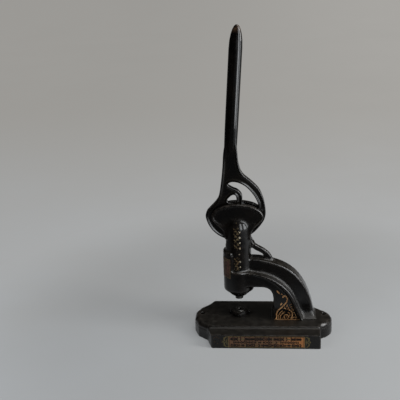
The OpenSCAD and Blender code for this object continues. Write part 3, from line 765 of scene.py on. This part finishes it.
class Finish:
    """Adds nodes to one material and joins them."""

    def __init__(self, name):
        self.material = bpy.data.materials.new(name)
        self.material.use_nodes = True
        self.tree = self.material.node_tree
        self.tree.nodes.clear()
        self.out = self.tree.nodes.new("ShaderNodeOutputMaterial")
        self.at = self.add("ShaderNodeTexCoord").outputs["Object"]

    def add(self, kind, inputs=None, **settings):
        """A node with its settings and its inputs, each a value or a socket."""
        node = self.tree.nodes.new(kind)
        for key, value in settings.items():
            setattr(node, key, value)
        for key, value in (inputs or {}).items():
            if isinstance(value, bpy.types.NodeSocket):
                self.tree.links.new(value, node.inputs[key])
            else:
                node.inputs[key].default_value = value
        return node

    def noise(self, scale, detail=3.0, rough=0.55):
        """Noise with so many waves to the metre."""
        wanted = {"Vector": self.at, "Scale": scale, "Detail": detail, "Roughness": rough}
        return self.add("ShaderNodeTexNoise", wanted).outputs["Fac"]

    def noted(self, name):
        """A value noted on the points of the mesh."""
        return self.add("ShaderNodeAttribute", attribute_name=name).outputs["Fac"]

    def spread(self, value, low, high, to_low=0.0, to_high=1.0):
        """A value taken from one range to another, smoothly."""
        wanted = {"Value": value, "From Min": low, "From Max": high, "To Min": to_low, "To Max": to_high}
        return self.add("ShaderNodeMapRange", wanted, interpolation_type="SMOOTHSTEP").outputs["Result"]

    def band(self, value, start, full, ending, end):
        """1 from full to ending, and smoothly down to 0 at start and end."""
        return self.times(self.spread(value, start, full), self.spread(value, ending, end, 1.0, 0.0))

    def reckon(self, operation, a, b):
        """Two numbers worked into one."""
        return self.add("ShaderNodeMath", {0: a, 1: b}, operation=operation).outputs[0]

    def times(self, a, b):
        """One number times another."""
        return self.reckon("MULTIPLY", a, b)

    def plus(self, a, b):
        """One number added to another."""
        return self.reckon("ADD", a, b)

    def between(self, share, a, b):
        """A number taken from one to another by a share."""
        return self.add("ShaderNodeMix", {0: share, 2: a, 3: b}, data_type="FLOAT").outputs[0]

    def blend(self, share, a, b):
        """One colour over another."""
        a, b = (v if isinstance(v, bpy.types.NodeSocket) else (*v, 1.0) for v in (a, b))
        return self.add("ShaderNodeMix", {0: share, 6: a, 7: b}, data_type="RGBA").outputs[2]

    def bump(self, height, strength, depth):
        """A rough surface, from its height."""
        wanted = {"Height": height, "Strength": strength, "Distance": depth}
        return self.add("ShaderNodeBump", wanted).outputs["Normal"]

    def surface(self, **inputs):
        """The shader, with inputs named in words joined by underscores."""
        wanted = {key.replace("_", " "): value for key, value in inputs.items()}
        shader = self.add("ShaderNodeBsdfPrincipled", wanted)
        self.tree.links.new(shader.outputs["BSDF"], self.out.inputs["Surface"])
        return self.material


def japan_finish(name, colours, gloss=0.45, satin=0.0, chipped=0.7):
    """Black japan over cast iron: clouded, rubbed through on its edges, dusty on top, where the pale top also stands in
    for the sheen that top faces take from the light, which is painted light.
    """
    f = Finish(name)
    cloud = f.noise(24, 4)
    patch = f.noise(120, 5, 0.62)
    grain = f.noise(760, 3)
    speck = f.noise(1900, 2)
    colour = f.blend(f.spread(cloud, 0.38, 0.68), colours.japan, colours.japan_brown)
    rub = f.times(f.noted("worn"), f.spread(patch, 0.38, 0.62))
    colour = f.blend(f.times(rub, 0.5), colour, colours.bare_iron)
    # Top faces and corners turn pale: settled dirt, and on the top faces also a painted sheen from the light.
    settled_dust_and_sheen = f.plus(f.times(f.noted("dust_and_sheen"), f.spread(patch, 0.3, 0.75, 0.25, 1.0)), f.times(f.noted("nook"), 0.5))
    colour = f.blend(f.times(settled_dust_and_sheen, 0.15), colour, colours.dust_and_sheen)
    chips = f.spread(speck, 0.79, 0.85)
    colour = f.blend(f.times(chips, f.spread(cloud, 0.45, 0.7, 0.0, chipped)), colour, colours.bare_iron)
    rough = f.plus(f.spread(patch, 0.35, 0.7, 0.13 + satin, 0.25 + satin), f.times(settled_dust_and_sheen, 0.1))
    rough = f.plus(rough, f.times(f.noted("nook"), 0.25))
    height = f.plus(f.times(grain, 0.5), f.plus(f.noise(150, 1), f.times(chips, -0.5)))
    return f.surface(
        Base_Color=colour, Roughness=rough, Specular_IOR_Level=gloss, Normal=f.bump(height, 0.16, 0.2 * MM)
    )


def handle_finish(name, colours):
    """The lever's japan, handled smooth, with brown iron showing at the tip of the grip."""
    f = Finish(name)
    cloud = f.noise(30, 4)
    patch = f.noise(130, 5, 0.62)
    grain = f.noise(820, 3)
    height_z = f.add("ShaderNodeSeparateXYZ", {0: f.at}).outputs["Z"]
    tip = f.times(f.spread(height_z, LEVER_HI.z - 13 * MM, LEVER_HI.z - 1 * MM), f.spread(patch, 0.32, 0.6))
    colour = f.blend(f.spread(cloud, 0.4, 0.7), colours.japan, colours.japan_brown)
    rub = f.times(f.noted("worn"), f.spread(patch, 0.46, 0.6))
    colour = f.blend(f.times(rub, 0.25), colour, colours.bare_iron)
    colour = f.blend(f.times(tip, 0.7), colour, colours.grip_wear)
    colour = f.blend(f.times(f.noted("nook"), 0.3), colour, colours.dust_and_sheen)
    rough = f.spread(patch, 0.35, 0.7, 0.07, 0.17)
    height = f.plus(f.times(grain, 0.4), f.noise(140, 1))
    return f.surface(
        Base_Color=colour, Roughness=rough, Specular_IOR_Level=0.45, Normal=f.bump(height, 0.12, 0.2 * MM)
    )


TOOL_MARKS = 900.0


def metal_finish(name, colour, tint, smooth, dull):
    """Bare or blacked metal with tool marks, stains and bright edges."""
    f = Finish(name)
    stain = f.noise(140, 5, 0.6)
    fine = f.noise(2600, 2)
    wave = {"Vector": f.at, "Scale": TOOL_MARKS, "Distortion": 2.5, "Detail": 2.0}
    marks = f.add("ShaderNodeTexWave", wave, bands_direction="Z").outputs["Fac"]
    shade = f.blend(f.spread(stain, 0.35, 0.7), colour, tint)
    bright = tuple(min(1.0, c * 1.6 + 0.03) for c in colour)
    shade = f.blend(f.times(f.noted("worn"), 0.6), shade, bright)
    rough = f.spread(stain, 0.3, 0.7, smooth, dull)
    height = f.plus(f.times(marks, 0.6), f.times(fine, 0.4))
    return f.surface(Base_Color=shade, Metallic=1.0, Roughness=rough, Normal=f.bump(height, 0.22, 0.08 * MM))


def gilt_finish(name, gold, under, kept):
    """Gold leaf that has rubbed thin, with what lies under it showing through."""
    f = Finish(name)
    rub = f.noise(420, 5, 0.65)
    tone = f.noise(90, 3)
    share = f.spread(rub, 0.62 - 0.34 * kept, 0.7 - 0.3 * kept)
    colour = f.blend(f.spread(tone, 0.35, 0.7), gold, tuple(c * k for c, k in zip(gold, (0.72, 0.6, 0.5))))
    colour = f.blend(share, under, colour)
    return f.surface(
        Base_Color=colour, Metallic=0.25, Roughness=f.spread(rub, 0.3, 0.7, 0.36, 0.55), Specular_IOR_Level=0.35,
        Normal=f.bump(rub, 0.25, 0.1 * MM),
    )


def field_finish(name, colour, faded, under, kept, from_x, to_x):
    """A printed field, brighter towards one end and rubbed through in places."""
    f = Finish(name)
    rub = f.noise(330, 5, 0.66)
    tone = f.noise(70, 4)
    along = f.add("ShaderNodeSeparateXYZ", {0: f.at}).outputs["X"]
    # The field runs from its dim colour to its full colour along X; on the barrel's label this darkening is painted
    # shade.
    bright = f.spread(f.plus(along, f.times(f.spread(tone, 0.3, 0.7, -1.0, 1.0), 0.02)), from_x, to_x)
    shade = f.blend(bright, faded, colour)
    shade = f.blend(f.spread(rub, 0.6 - 0.36 * kept, 0.72 - 0.36 * kept), under, shade)
    return f.surface(
        Base_Color=shade, Roughness=f.spread(rub, 0.3, 0.7, 0.4, 0.6), Specular_IOR_Level=0.3,
        Normal=f.bump(rub, 0.2, 0.1 * MM),
    )


def ink_finish(name, ink, worn):
    """Dark printed ornament, thin in places."""
    f = Finish(name)
    rub = f.noise(500, 4, 0.6)
    return f.surface(
        Base_Color=f.blend(f.spread(rub, 0.5, 0.66), ink, worn), Roughness=f.spread(rub, 0.3, 0.7, 0.4, 0.6),
        Specular_IOR_Level=0.3, Normal=f.bump(rub, 0.2, 0.08 * MM),
    )


def finish(name):
    """The finish of that name, made once."""
    title = name + "_finish"
    if title in bpy.data.materials:
        return bpy.data.materials[title]
    c = bpy.context.scene.press_colours
    black = tuple(c.japan)
    makers = {
        "japan": lambda: japan_finish(title, c),
        "base_japan": lambda: japan_finish(title, c, 0.38, 0.12, 0.3),
        "ring_japan": lambda: japan_finish(title, c, 0.25, 0.28),
        "handle_japan": lambda: handle_finish(title, c),
        "steel": lambda: metal_finish(title, tuple(c.steel), tuple(v * 0.55 for v in c.steel), 0.26, 0.46),
        "ram_steel": lambda: metal_finish(title, tuple(v * 0.35 for v in c.steel), (0.05, 0.042, 0.036), 0.34, 0.56),
        "dark_steel": lambda: metal_finish(title, tuple(c.dark_steel), (0.018, 0.014, 0.012), 0.36, 0.55),
        "bronze": lambda: metal_finish(title, tuple(c.bronze), (0.2, 0.12, 0.06), 0.28, 0.5),
        "gilt": lambda: gilt_finish(title, tuple(c.gilt), black, 0.82),
        "vine_gilt": lambda: gilt_finish(title, tuple(c.vine), black, 0.55),
        # Pale gilt for the painted highlights down the column.
        "painted_glint_gilt": lambda: gilt_finish(title, tuple(c.painted_glint), black, 0.95),
        "olive_gilt": lambda: gilt_finish(title, tuple(c.olive), black, 0.7),
        "gilt_ghost": lambda: gilt_finish(title, tuple(v * 0.22 for v in c.gilt), black, 0.35),
        # The label darkens towards the barrel's left edge, where the barrel turns from the light: painted shade.
        "label_red": lambda: field_finish(title, tuple(c.label), tuple(v * 0.6 for v in c.label), black, 0.62,
                                          RAM_X - BARREL_R, RAM_X),
        "panel_copper": lambda: field_finish(title, tuple(c.panel), tuple(c.panel_dull_end), black, 0.85, 0.0, 0.055),
        "panel_ink": lambda: ink_finish(title, black, tuple(v * 0.12 for v in c.panel)),
    }
    return makers[name]()


# ---------- Stage ----------


# Where each bright patch starts, is full, stops being full and ends: in degrees round from the front to the right, and
# in metres up. The patches glow on the paper for gloss alone, though no lamp is there: painted highlights on the press.
WIDE_STRIP = (18, 26, 33, 40)
THIN_STRIP = (52, 58, 62, 68)
PANE_ROUND = (50, 58, 80, 90)
PANE_UP = (1.4, 1.7, 2.9, 3.2)


def paper_tone(f, stage, across, away):
    """The paper's colour: cooler and paler near the press and paler to the right, which is painted light falling round
    the press and from the right; darker and warmer towards the back.
    """
    near, far = tuple(stage.paper_near), tuple(stage.paper_far)
    # Paler to the right: painted light from the right on the paper.
    side = f.spread(across, -0.7, 0.7)
    near_tone = f.blend(side, tuple(v * 0.9 for v in near), near)
    far_tone = f.blend(side, tuple(v * 0.85 for v in far), far)
    colour = f.blend(f.spread(away, -0.5, 1.6), near_tone, far_tone)
    return f.blend(f.spread(f.noise(3, 3), 0.3, 0.7, 0.0, 0.2), colour, tuple(v * 0.9 for v in far))


def painted_reflection_level(f, stage, across, away, up, reach):
    """The paper's level as gloss alone sees it: painted reflections that are darker to the front, the left and above
    and brighter to the right, with two strips and a pane to the right that glow for gloss alone, though no lamp is
    there, and paint highlights on the press.
    """
    beside = f.spread(away, 0.0, 0.35, stage.bright_side, 0.5)
    right = f.between(f.spread(across, 0.25, 0.5), 1.0, beside)
    level = f.times(right, f.spread(across, -0.32, -0.08, stage.dim_left, 1.0))
    level = f.times(level, f.spread(up, 0.3, 1.0, 1.0, stage.dim_high))
    front = f.spread(away, -0.22, -0.08, stage.dim_front, 1.0)
    aside = f.times(f.spread(across, 0.12, 0.3, 0.0, 0.8), f.spread(reach, 0.28, 0.4))
    level = f.times(level, f.reckon("MAXIMUM", front, aside))
    turned = f.reckon("ARCTAN2", across, f.times(away, -1.0))

    def patch(span):
        return f.band(turned, *(math.radians(a) for a in span))

    # Painted highlights: strips and a pane that glow only for gloss.
    wide = f.times(patch(WIDE_STRIP), f.spread(reach, 0.95, 1.2))
    thin = f.times(patch(THIN_STRIP), f.spread(reach, 0.65, 0.95))
    level = f.plus(level, f.times(f.plus(wide, thin), stage.painted_strip_level))
    return f.plus(level, f.times(f.times(patch(PANE_ROUND), f.band(up, *PANE_UP)), stage.painted_pane_level))


def stage_finish(name, stage):
    """Pale paper that shows one even tone from afar and takes the shadow close by, and that shows gloss painted
    reflections, with glowing strips and a pane that paint highlights on the press.
    """
    f = Finish(name)
    split = f.add("ShaderNodeSeparateXYZ", {0: f.at}).outputs
    across, away, up = split["X"], split["Y"], split["Z"]
    reach = f.add("ShaderNodeVectorMath", {0: f.at}, operation="LENGTH").outputs["Value"]
    path = f.add("ShaderNodeLightPath").outputs
    colour = paper_tone(f, stage, across, away)
    level = f.between(path["Is Camera Ray"], painted_reflection_level(f, stage, across, away, up, reach), 1.0)
    shadow = f.spread(reach, stage.shadow_reach, stage.shadow_reach * 2.1, 1 - stage.shadow_depth, 1.0)
    gloss = f.plus(path["Is Glossy Ray"], path["Is Transmission Ray"])
    seen = f.plus(f.times(path["Is Camera Ray"], shadow), f.times(gloss, f.spread(reach, 0.07, 0.16)))
    paper = f.add("ShaderNodeBsdfDiffuse", {"Color": colour})
    glow = f.add("ShaderNodeEmission", {"Color": colour, "Strength": level})
    mix = f.add("ShaderNodeMixShader", {0: seen, 1: paper.outputs[0], 2: glow.outputs[0]})
    f.tree.links.new(mix.outputs[0], f.out.inputs["Surface"])
    return f.material


def build_paper(stage):
    """A round floor with a curved wall all about it."""
    sides, floor_r, cove, top = 96, 3.2, 0.8, 3.4
    profile = [(floor_r * k / 12, 0.0) for k in range(1, 13)]
    profile += [
        (floor_r + cove * math.sin(math.radians(a)), cove * (1 - math.cos(math.radians(a)))) for a in range(10, 91, 10)
    ]
    profile.append((floor_r + cove, top))
    verts, faces = [(0, 0, 0)], []
    for r, z in profile:
        verts += [(r * math.cos(2 * math.pi * i / sides), r * math.sin(2 * math.pi * i / sides), z)
                  for i in range(sides)]
    for i in range(sides):
        j = (i + 1) % sides
        faces.append((0, 1 + i, 1 + j))
        for k in range(len(profile) - 1):
            a, b = 1 + k * sides, 1 + (k + 1) * sides
            faces.append((a + i, b + i, b + j, a + j))
    mesh = bpy.data.meshes.new("paper_sweep")
    mesh.from_pydata(verts, [], faces)
    mesh.shade_smooth()
    mesh.materials.append(stage_finish("pale_paper", stage))
    paper = link_piece("paper_sweep", mesh)
    paper.location.z = CAD_BOX[0].z


def add_lamp(name, place, target, width, height, power, colour, mirrored=True):
    """A soft panel lamp that the camera doesn't see, and that gloss mirrors unless told otherwise."""
    light = bpy.data.lights.new(name, "AREA")
    light.shape = "RECTANGLE"
    light.size, light.size_y = width, height
    light.energy = power
    light.color = colour
    lamp = link_piece(name, light)
    lamp.location = place
    lamp.rotation_euler = (Vector(target) - Vector(place)).to_track_quat("-Z", "Y").to_euler()
    lamp.visible_camera = False
    lamp.visible_glossy = mirrored


def build_camera(stage):
    """The camera, by its place and the three angles that it is held at."""
    yaw, pitch, roll = stage.camera_yaw, stage.camera_pitch, stage.camera_roll
    ahead = Vector((math.sin(yaw) * math.cos(pitch), math.cos(yaw) * math.cos(pitch), -math.sin(pitch)))
    level = Vector((math.cos(yaw), -math.sin(yaw), 0))
    upward = level.cross(ahead)
    right = level * math.cos(roll) + upward * math.sin(roll)
    up = upward * math.cos(roll) - level * math.sin(roll)
    camera = link_piece("camera", bpy.data.cameras.new("camera"))
    camera.data.sensor_width = 36
    camera.data.lens = stage.camera_lens
    camera.data.clip_end = 50
    turn = Matrix((right, up, -ahead)).transposed().to_4x4()
    camera.matrix_world = Matrix.Translation(Vector(stage.camera_place)) @ turn
    bpy.context.scene.camera = camera


def build_world(stage):
    """A dim, even sky."""
    world = bpy.data.worlds.new("studio")
    bpy.context.scene.world = world
    world.use_nodes = True
    sky = world.node_tree.nodes["Background"]
    sky.inputs["Color"].default_value = (*stage.paper_far, 1)
    sky.inputs["Strength"].default_value = stage.sky_level


# ---------- Settings ----------


def tone(name, description, value):
    """A colour."""
    return bpy.props.FloatVectorProperty(
        name=name, description=description, default=value, min=0, max=1, size=3, subtype="COLOR"
    )


def length(name, description, value, top):
    """A length in metres."""
    return bpy.props.FloatProperty(
        name=name, description=description, default=value, min=0.00001, max=top, unit="LENGTH", precision=5
    )


def level(name, description, value, top=1.0):
    """A share, or a level where 1 is the paper as the camera sees it."""
    return bpy.props.FloatProperty(name=name, description=description, default=value, min=0, max=top, subtype="FACTOR")


def passes(name, description, value, top):
    """A number of softening passes."""
    return bpy.props.IntProperty(name=name, description=description, default=value, min=0, max=top)


def watts(name, description, value):
    """The power of a lamp."""
    return bpy.props.FloatProperty(name=name, description=description, default=value, min=0, unit="POWER")


def degrees(name, description, value):
    """An angle, given in degrees."""
    return bpy.props.FloatProperty(
        name=name, description=description, default=math.radians(value), subtype="ANGLE"
    )


class PressColours(bpy.types.PropertyGroup):
    """Colours of the finishes."""

    japan: tone("Japan", "Black of the japanned castings", (0.002, 0.0018, 0.0018))
    japan_brown: tone("Japan, browned", "Where the japan has turned brown", (0.0055, 0.0042, 0.0034))
    bare_iron: tone("Bare iron", "Iron where the japan has rubbed through", (0.055, 0.046, 0.04))
    grip_wear: tone("Grip wear", "Brown iron at the tip of the handle", (0.11, 0.062, 0.036))
    # This pale colour is settled dirt on top faces and in corners, and on the top faces also a painted sheen from the
    # light.
    dust_and_sheen: tone("Dust", "Dust on the upper faces and in the corners", (0.11, 0.1, 0.082))
    steel: tone("Steel", "Turned steel", (0.5, 0.49, 0.47))
    dark_steel: tone("Blacked steel", "Screws, nuts, spring and die ring", (0.024, 0.021, 0.019))
    bronze: tone("Bronze", "The hub's bush", (0.55, 0.35, 0.16))
    gilt: tone("Gilt", "Gold of the web's scroll", (0.56, 0.32, 0.15))
    vine: tone("Vine", "Dulled gold of the column's vine", (0.17, 0.13, 0.07))
    # This pale colour is a painted highlight: the glints down the column's right side.
    painted_glint: tone("Pearls", "Pale dots of the vine", (0.5, 0.46, 0.36))
    olive: tone("Olive", "Old gold on the ledge's band", (0.15, 0.125, 0.055))
    panel: tone("Panel", "Bright end of the ledge's copper band", (0.4, 0.165, 0.055))
    # The copper band is given this duller colour at its left end and runs brighter towards its right end.
    panel_dull_end: tone("Panel, faded", "Dull end of the ledge's copper band", (0.155, 0.078, 0.042))
    label: tone("Label", "The barrel's faded red label", (0.1, 0.042, 0.034))


class PressSizes(bpy.types.PropertyGroup):
    """Sizes of the castings' skins and details."""

    base_voxel: length("Base skin", "Fineness of the base's skin", 1.0 * MM, 0.01)
    frame_voxel: length("Frame skin", "Fineness of the frame's skin", 0.9 * MM, 0.01)
    lever_voxel: length("Lever skin", "Fineness of the lever's skin", 0.65 * MM, 0.01)
    cap_voxel: length("Cap skin", "Fineness of the nose cap's skin", 0.4 * MM, 0.01)
    tab_round: length("Tab round", "Radius of the tabs' upper edge", 7.5 * MM, 0.012)
    cheek_dish: length("Cheek dish", "Depth of the oval field in each cheek", 0.85 * MM, 0.002)
    lever_sink: length("Lever sink", "Depth of the lever's faces below their rims", 1.2 * MM, 0.002)
    lever_rim: length("Lever rim", "Width of the lever's raised rims", 2.2 * MM, 0.006)
    transfer_seat: length("Transfer seat", "How far the ledge's face lies behind the box, for its transfers", 0.12 * MM,
                          0.001)
    bore_room: length("Bore room", "Room between the ram and the skin of the frame's bore", 0.15 * MM, 0.001)
    broken_edge: length("Broken edge", "Chamfer of the machined edges", 0.3 * MM, 0.001)
    edge_steps: passes("Edge softness", "Rounding of the frame's edges", 7, 40)
    arm_steps: passes("Arm softness", "Extra rounding of the outer arm", 9, 120)
    crown_steps: passes("Crown softness", "How far the column's top runs into the cheek", 32, 90)
    line_weight: level("Line weight", "Width of the transfers' lines, as a share", 1.0, 2)


class PressStage(bpy.types.PropertyGroup):
    """The floor, lamps and camera."""

    # The near colour is paler than the far one: painted light on the floor round the press.
    paper_near: tone("Paper, near", "Colour of the floor round the press", (0.455, 0.475, 0.492))
    paper_far: tone("Paper, far", "Colour of the floor and wall behind", (0.385, 0.375, 0.355))
    # These levels paint the reflections on the press: shade to the front, left and above, light to the right, and
    # glowing strips and a pane as painted highlights.
    bright_side: level("Bright side", "Level of the paper that the right sides mirror", 1.7, 2.4)
    dim_front: level("Dim front", "Level of the paper that the front faces mirror", 0.14)
    dim_left: level("Dim left", "Level of the paper that the left sides mirror", 0.2)
    painted_strip_level: level("Strip level", "Level of the bright strips that the handle's right side mirrors", 13.0, 20)
    painted_pane_level: level("Pane level", "Level of the bright pane that rounded edges mirror", 10.0, 20)
    dim_high: level("Dim wall", "Level of the upper wall that the top faces mirror", 0.1)
    shadow_reach: length("Shadow reach", "Radius of the floor that takes the shadow", 0.27, 2)
    shadow_depth: level("Shadow depth", "Share of the shadow that the floor keeps", 0.6)
    sky_level: level("Sky", "Level of the dim even light", 0.25, 2)
    key_power: watts("Key lamp", "Power of the right lamp", 16)
    fill_power: watts("Fill lamp", "Power of the left lamp", 11)
    top_power: watts("Top lamp", "Power of the lamp above", 14)
    camera_place: bpy.props.FloatVectorProperty(
        name="Camera place", description="Where the camera stands", default=(0.01819, -1.1961, 0.6572), size=3,
        subtype="TRANSLATION", unit="LENGTH",
    )
    camera_yaw: degrees("Yaw", "Turn of the camera from straight ahead", -5.37)
    camera_pitch: degrees("Pitch", "How far the camera looks down", 20)
    camera_roll: degrees("Roll", "Tilt of the camera", -2.19)
    camera_lens: bpy.props.FloatProperty(
        name="Lens", description="Focal length in millimetres", default=74.97, min=10, max=300
    )


# ---------- Operators ----------


class PRESS_OT_base(bpy.types.Operator):
    """Casts the base."""

    bl_idname = "press.base"
    bl_label = "Base"

    def execute(self, context):
        build_base(context.scene.press_sizes)
        return {"FINISHED"}


class PRESS_OT_frame(bpy.types.Operator):
    """Casts the frame with its cheeks."""

    bl_idname = "press.frame"
    bl_label = "Frame"

    def execute(self, context):
        build_frame(context.scene.press_sizes)
        return {"FINISHED"}


class PRESS_OT_lever(bpy.types.Operator):
    """Casts the lever with its cam and handle."""

    bl_idname = "press.lever"
    bl_label = "Lever"

    def execute(self, context):
        build_lever(context.scene.press_sizes)
        return {"FINISHED"}


class PRESS_OT_nose_cap(bpy.types.Operator):
    """Casts the nose cap."""

    bl_idname = "press.nose_cap"
    bl_label = "Nose cap"

    def execute(self, context):
        build_nose_cap(context.scene.press_sizes)
        return {"FINISHED"}


class PRESS_OT_pivot(bpy.types.Operator):
    """Turns the hub's bush, the pivot bolt with its washer, and the stop pin."""

    bl_idname = "press.pivot"
    bl_label = "Pivot"

    def execute(self, context):
        machine_all(context.scene.press_sizes.broken_edge, (
            ("hub_bush", 1, "bronze"),
            ("pivot_bolt", 1.6, "dark_steel"),
            ("pivot_washer", 1, "steel"),
            ("stop_pin", 1, "steel"),
        ))
        return {"FINISHED"}


class PRESS_OT_ram(bpy.types.Operator):
    """Turns the ram with its roller, pin and screws."""

    bl_idname = "press.ram"
    bl_label = "Ram"

    def execute(self, context):
        machine_all(context.scene.press_sizes.broken_edge, (
            ("ram", 1, "ram_steel"),
            ("cam_roller", 1, "steel"),
            ("roller_pin", 1, "dark_steel"),
            ("punch_screw", 0.5, "dark_steel"),
            ("ram_key_screw", 0.7, "dark_steel"),
        ))
        return {"FINISHED"}


class PRESS_OT_spring(bpy.types.Operator):
    """Winds the return spring."""

    bl_idname = "press.spring"
    bl_label = "Return spring"

    def execute(self, context):
        build_spring(context.scene.press_sizes)
        return {"FINISHED"}


class PRESS_OT_fasteners(bpy.types.Operator):
    """Makes the bolts, washers and dowels that hold the frame to the base."""

    bl_idname = "press.fasteners"
    bl_label = "Frame fasteners"

    def execute(self, context):
        machine_all(context.scene.press_sizes.broken_edge, (
            ("frame_bolts", 1.6, "dark_steel"),
            ("frame_washers", 1, "steel"),
            ("frame_dowels", 1, "steel"),
        ))
        return {"FINISHED"}


class PRESS_OT_die(bpy.types.Operator):
    """Makes the die ring with its nut, button and four screws."""

    bl_idname = "press.die"
    bl_label = "Die holder"

    def execute(self, context):
        machine_all(context.scene.press_sizes.broken_edge, (
            ("die_ring", 1.6, "ring_japan"),
            ("die_ring_nut", 1.6, "dark_steel"),
            ("die_button", 1, "ram_steel"),
            ("die_screws", 1, "ring_japan"),
        ))
        return {"FINISHED"}


class PRESS_OT_transfers(bpy.types.Operator):
    """Lays the gilt and coloured transfers on the castings."""

    bl_idname = "press.transfers"
    bl_label = "Transfers"

    def execute(self, context):
        sizes = context.scene.press_sizes
        line = sizes.line_weight
        web_scroll(line * 1.2)
        column_vine(line)
        barrel_label(line)
        ledge_panel(sizes, line)
        ledge_corner_scroll(sizes, line)
        return {"FINISHED"}


class PRESS_OT_stage(bpy.types.Operator):
    """Sets the paper, lamps, sky and camera."""

    bl_idname = "press.stage"
    bl_label = "Stage"

    def execute(self, context):
        stage = context.scene.press_stage
        build_paper(stage)
        aim = (0, 0, 0.18)
        add_lamp("key_lamp", (1.15, -0.35, 0.8), aim, 0.5, 1.2, stage.key_power, (1.0, 0.99, 0.97))
        add_lamp("fill_lamp", (-1.5, -0.9, 1.3), aim, 1.3, 1.3, stage.fill_power, (0.96, 0.98, 1.0), False)
        add_lamp("top_lamp", (0.35, -0.3, 2.1), aim, 0.5, 1.5, stage.top_power, (1.0, 1.0, 1.0))
        build_world(stage)
        build_camera(stage)
        context.scene.view_settings.view_transform = "Standard"
        return {"FINISHED"}


class PRESS_PT_panel(bpy.types.Panel):
    """Lists the press's pieces in the sidebar."""

    bl_idname = "PRESS_PT_panel"
    bl_label = "Hand Lever Press"
    bl_space_type = "VIEW_3D"
    bl_region_type = "UI"
    bl_category = "Press"

    def draw(self, context):
        column = self.layout.column()
        for operator in OPERATORS:
            column.operator(operator.bl_idname)
        for group in (context.scene.press_sizes, context.scene.press_colours, context.scene.press_stage):
            box = self.layout.box()
            for key in group.bl_rna.properties.keys():
                if key not in ("rna_type", "name"):
                    box.prop(group, key)


OPERATORS = (
    PRESS_OT_base, PRESS_OT_frame, PRESS_OT_lever, PRESS_OT_nose_cap, PRESS_OT_pivot, PRESS_OT_ram, PRESS_OT_spring,
    PRESS_OT_fasteners, PRESS_OT_die, PRESS_OT_transfers, PRESS_OT_stage,
)
GROUPS = {"press_colours": PressColours, "press_sizes": PressSizes, "press_stage": PressStage}


def register():
    for group in GROUPS.values():
        bpy.utils.register_class(group)
    for name, group in GROUPS.items():
        setattr(bpy.types.Scene, name, bpy.props.PointerProperty(type=group))
    for operator in OPERATORS:
        bpy.utils.register_class(operator)
    bpy.utils.register_class(PRESS_PT_panel)


def unregister():
    bpy.utils.unregister_class(PRESS_PT_panel)
    for operator in reversed(OPERATORS):
        bpy.utils.unregister_class(operator)
    for name in GROUPS:
        delattr(bpy.types.Scene, name)
    for group in GROUPS.values():
        bpy.utils.unregister_class(group)


def main():
    """Builds the whole press and its stage."""
    register()
    for operator in OPERATORS:
        family, name = operator.bl_idname.split(".")
        getattr(getattr(bpy.ops, family), name)()


if __name__ == "__main__":
    main()
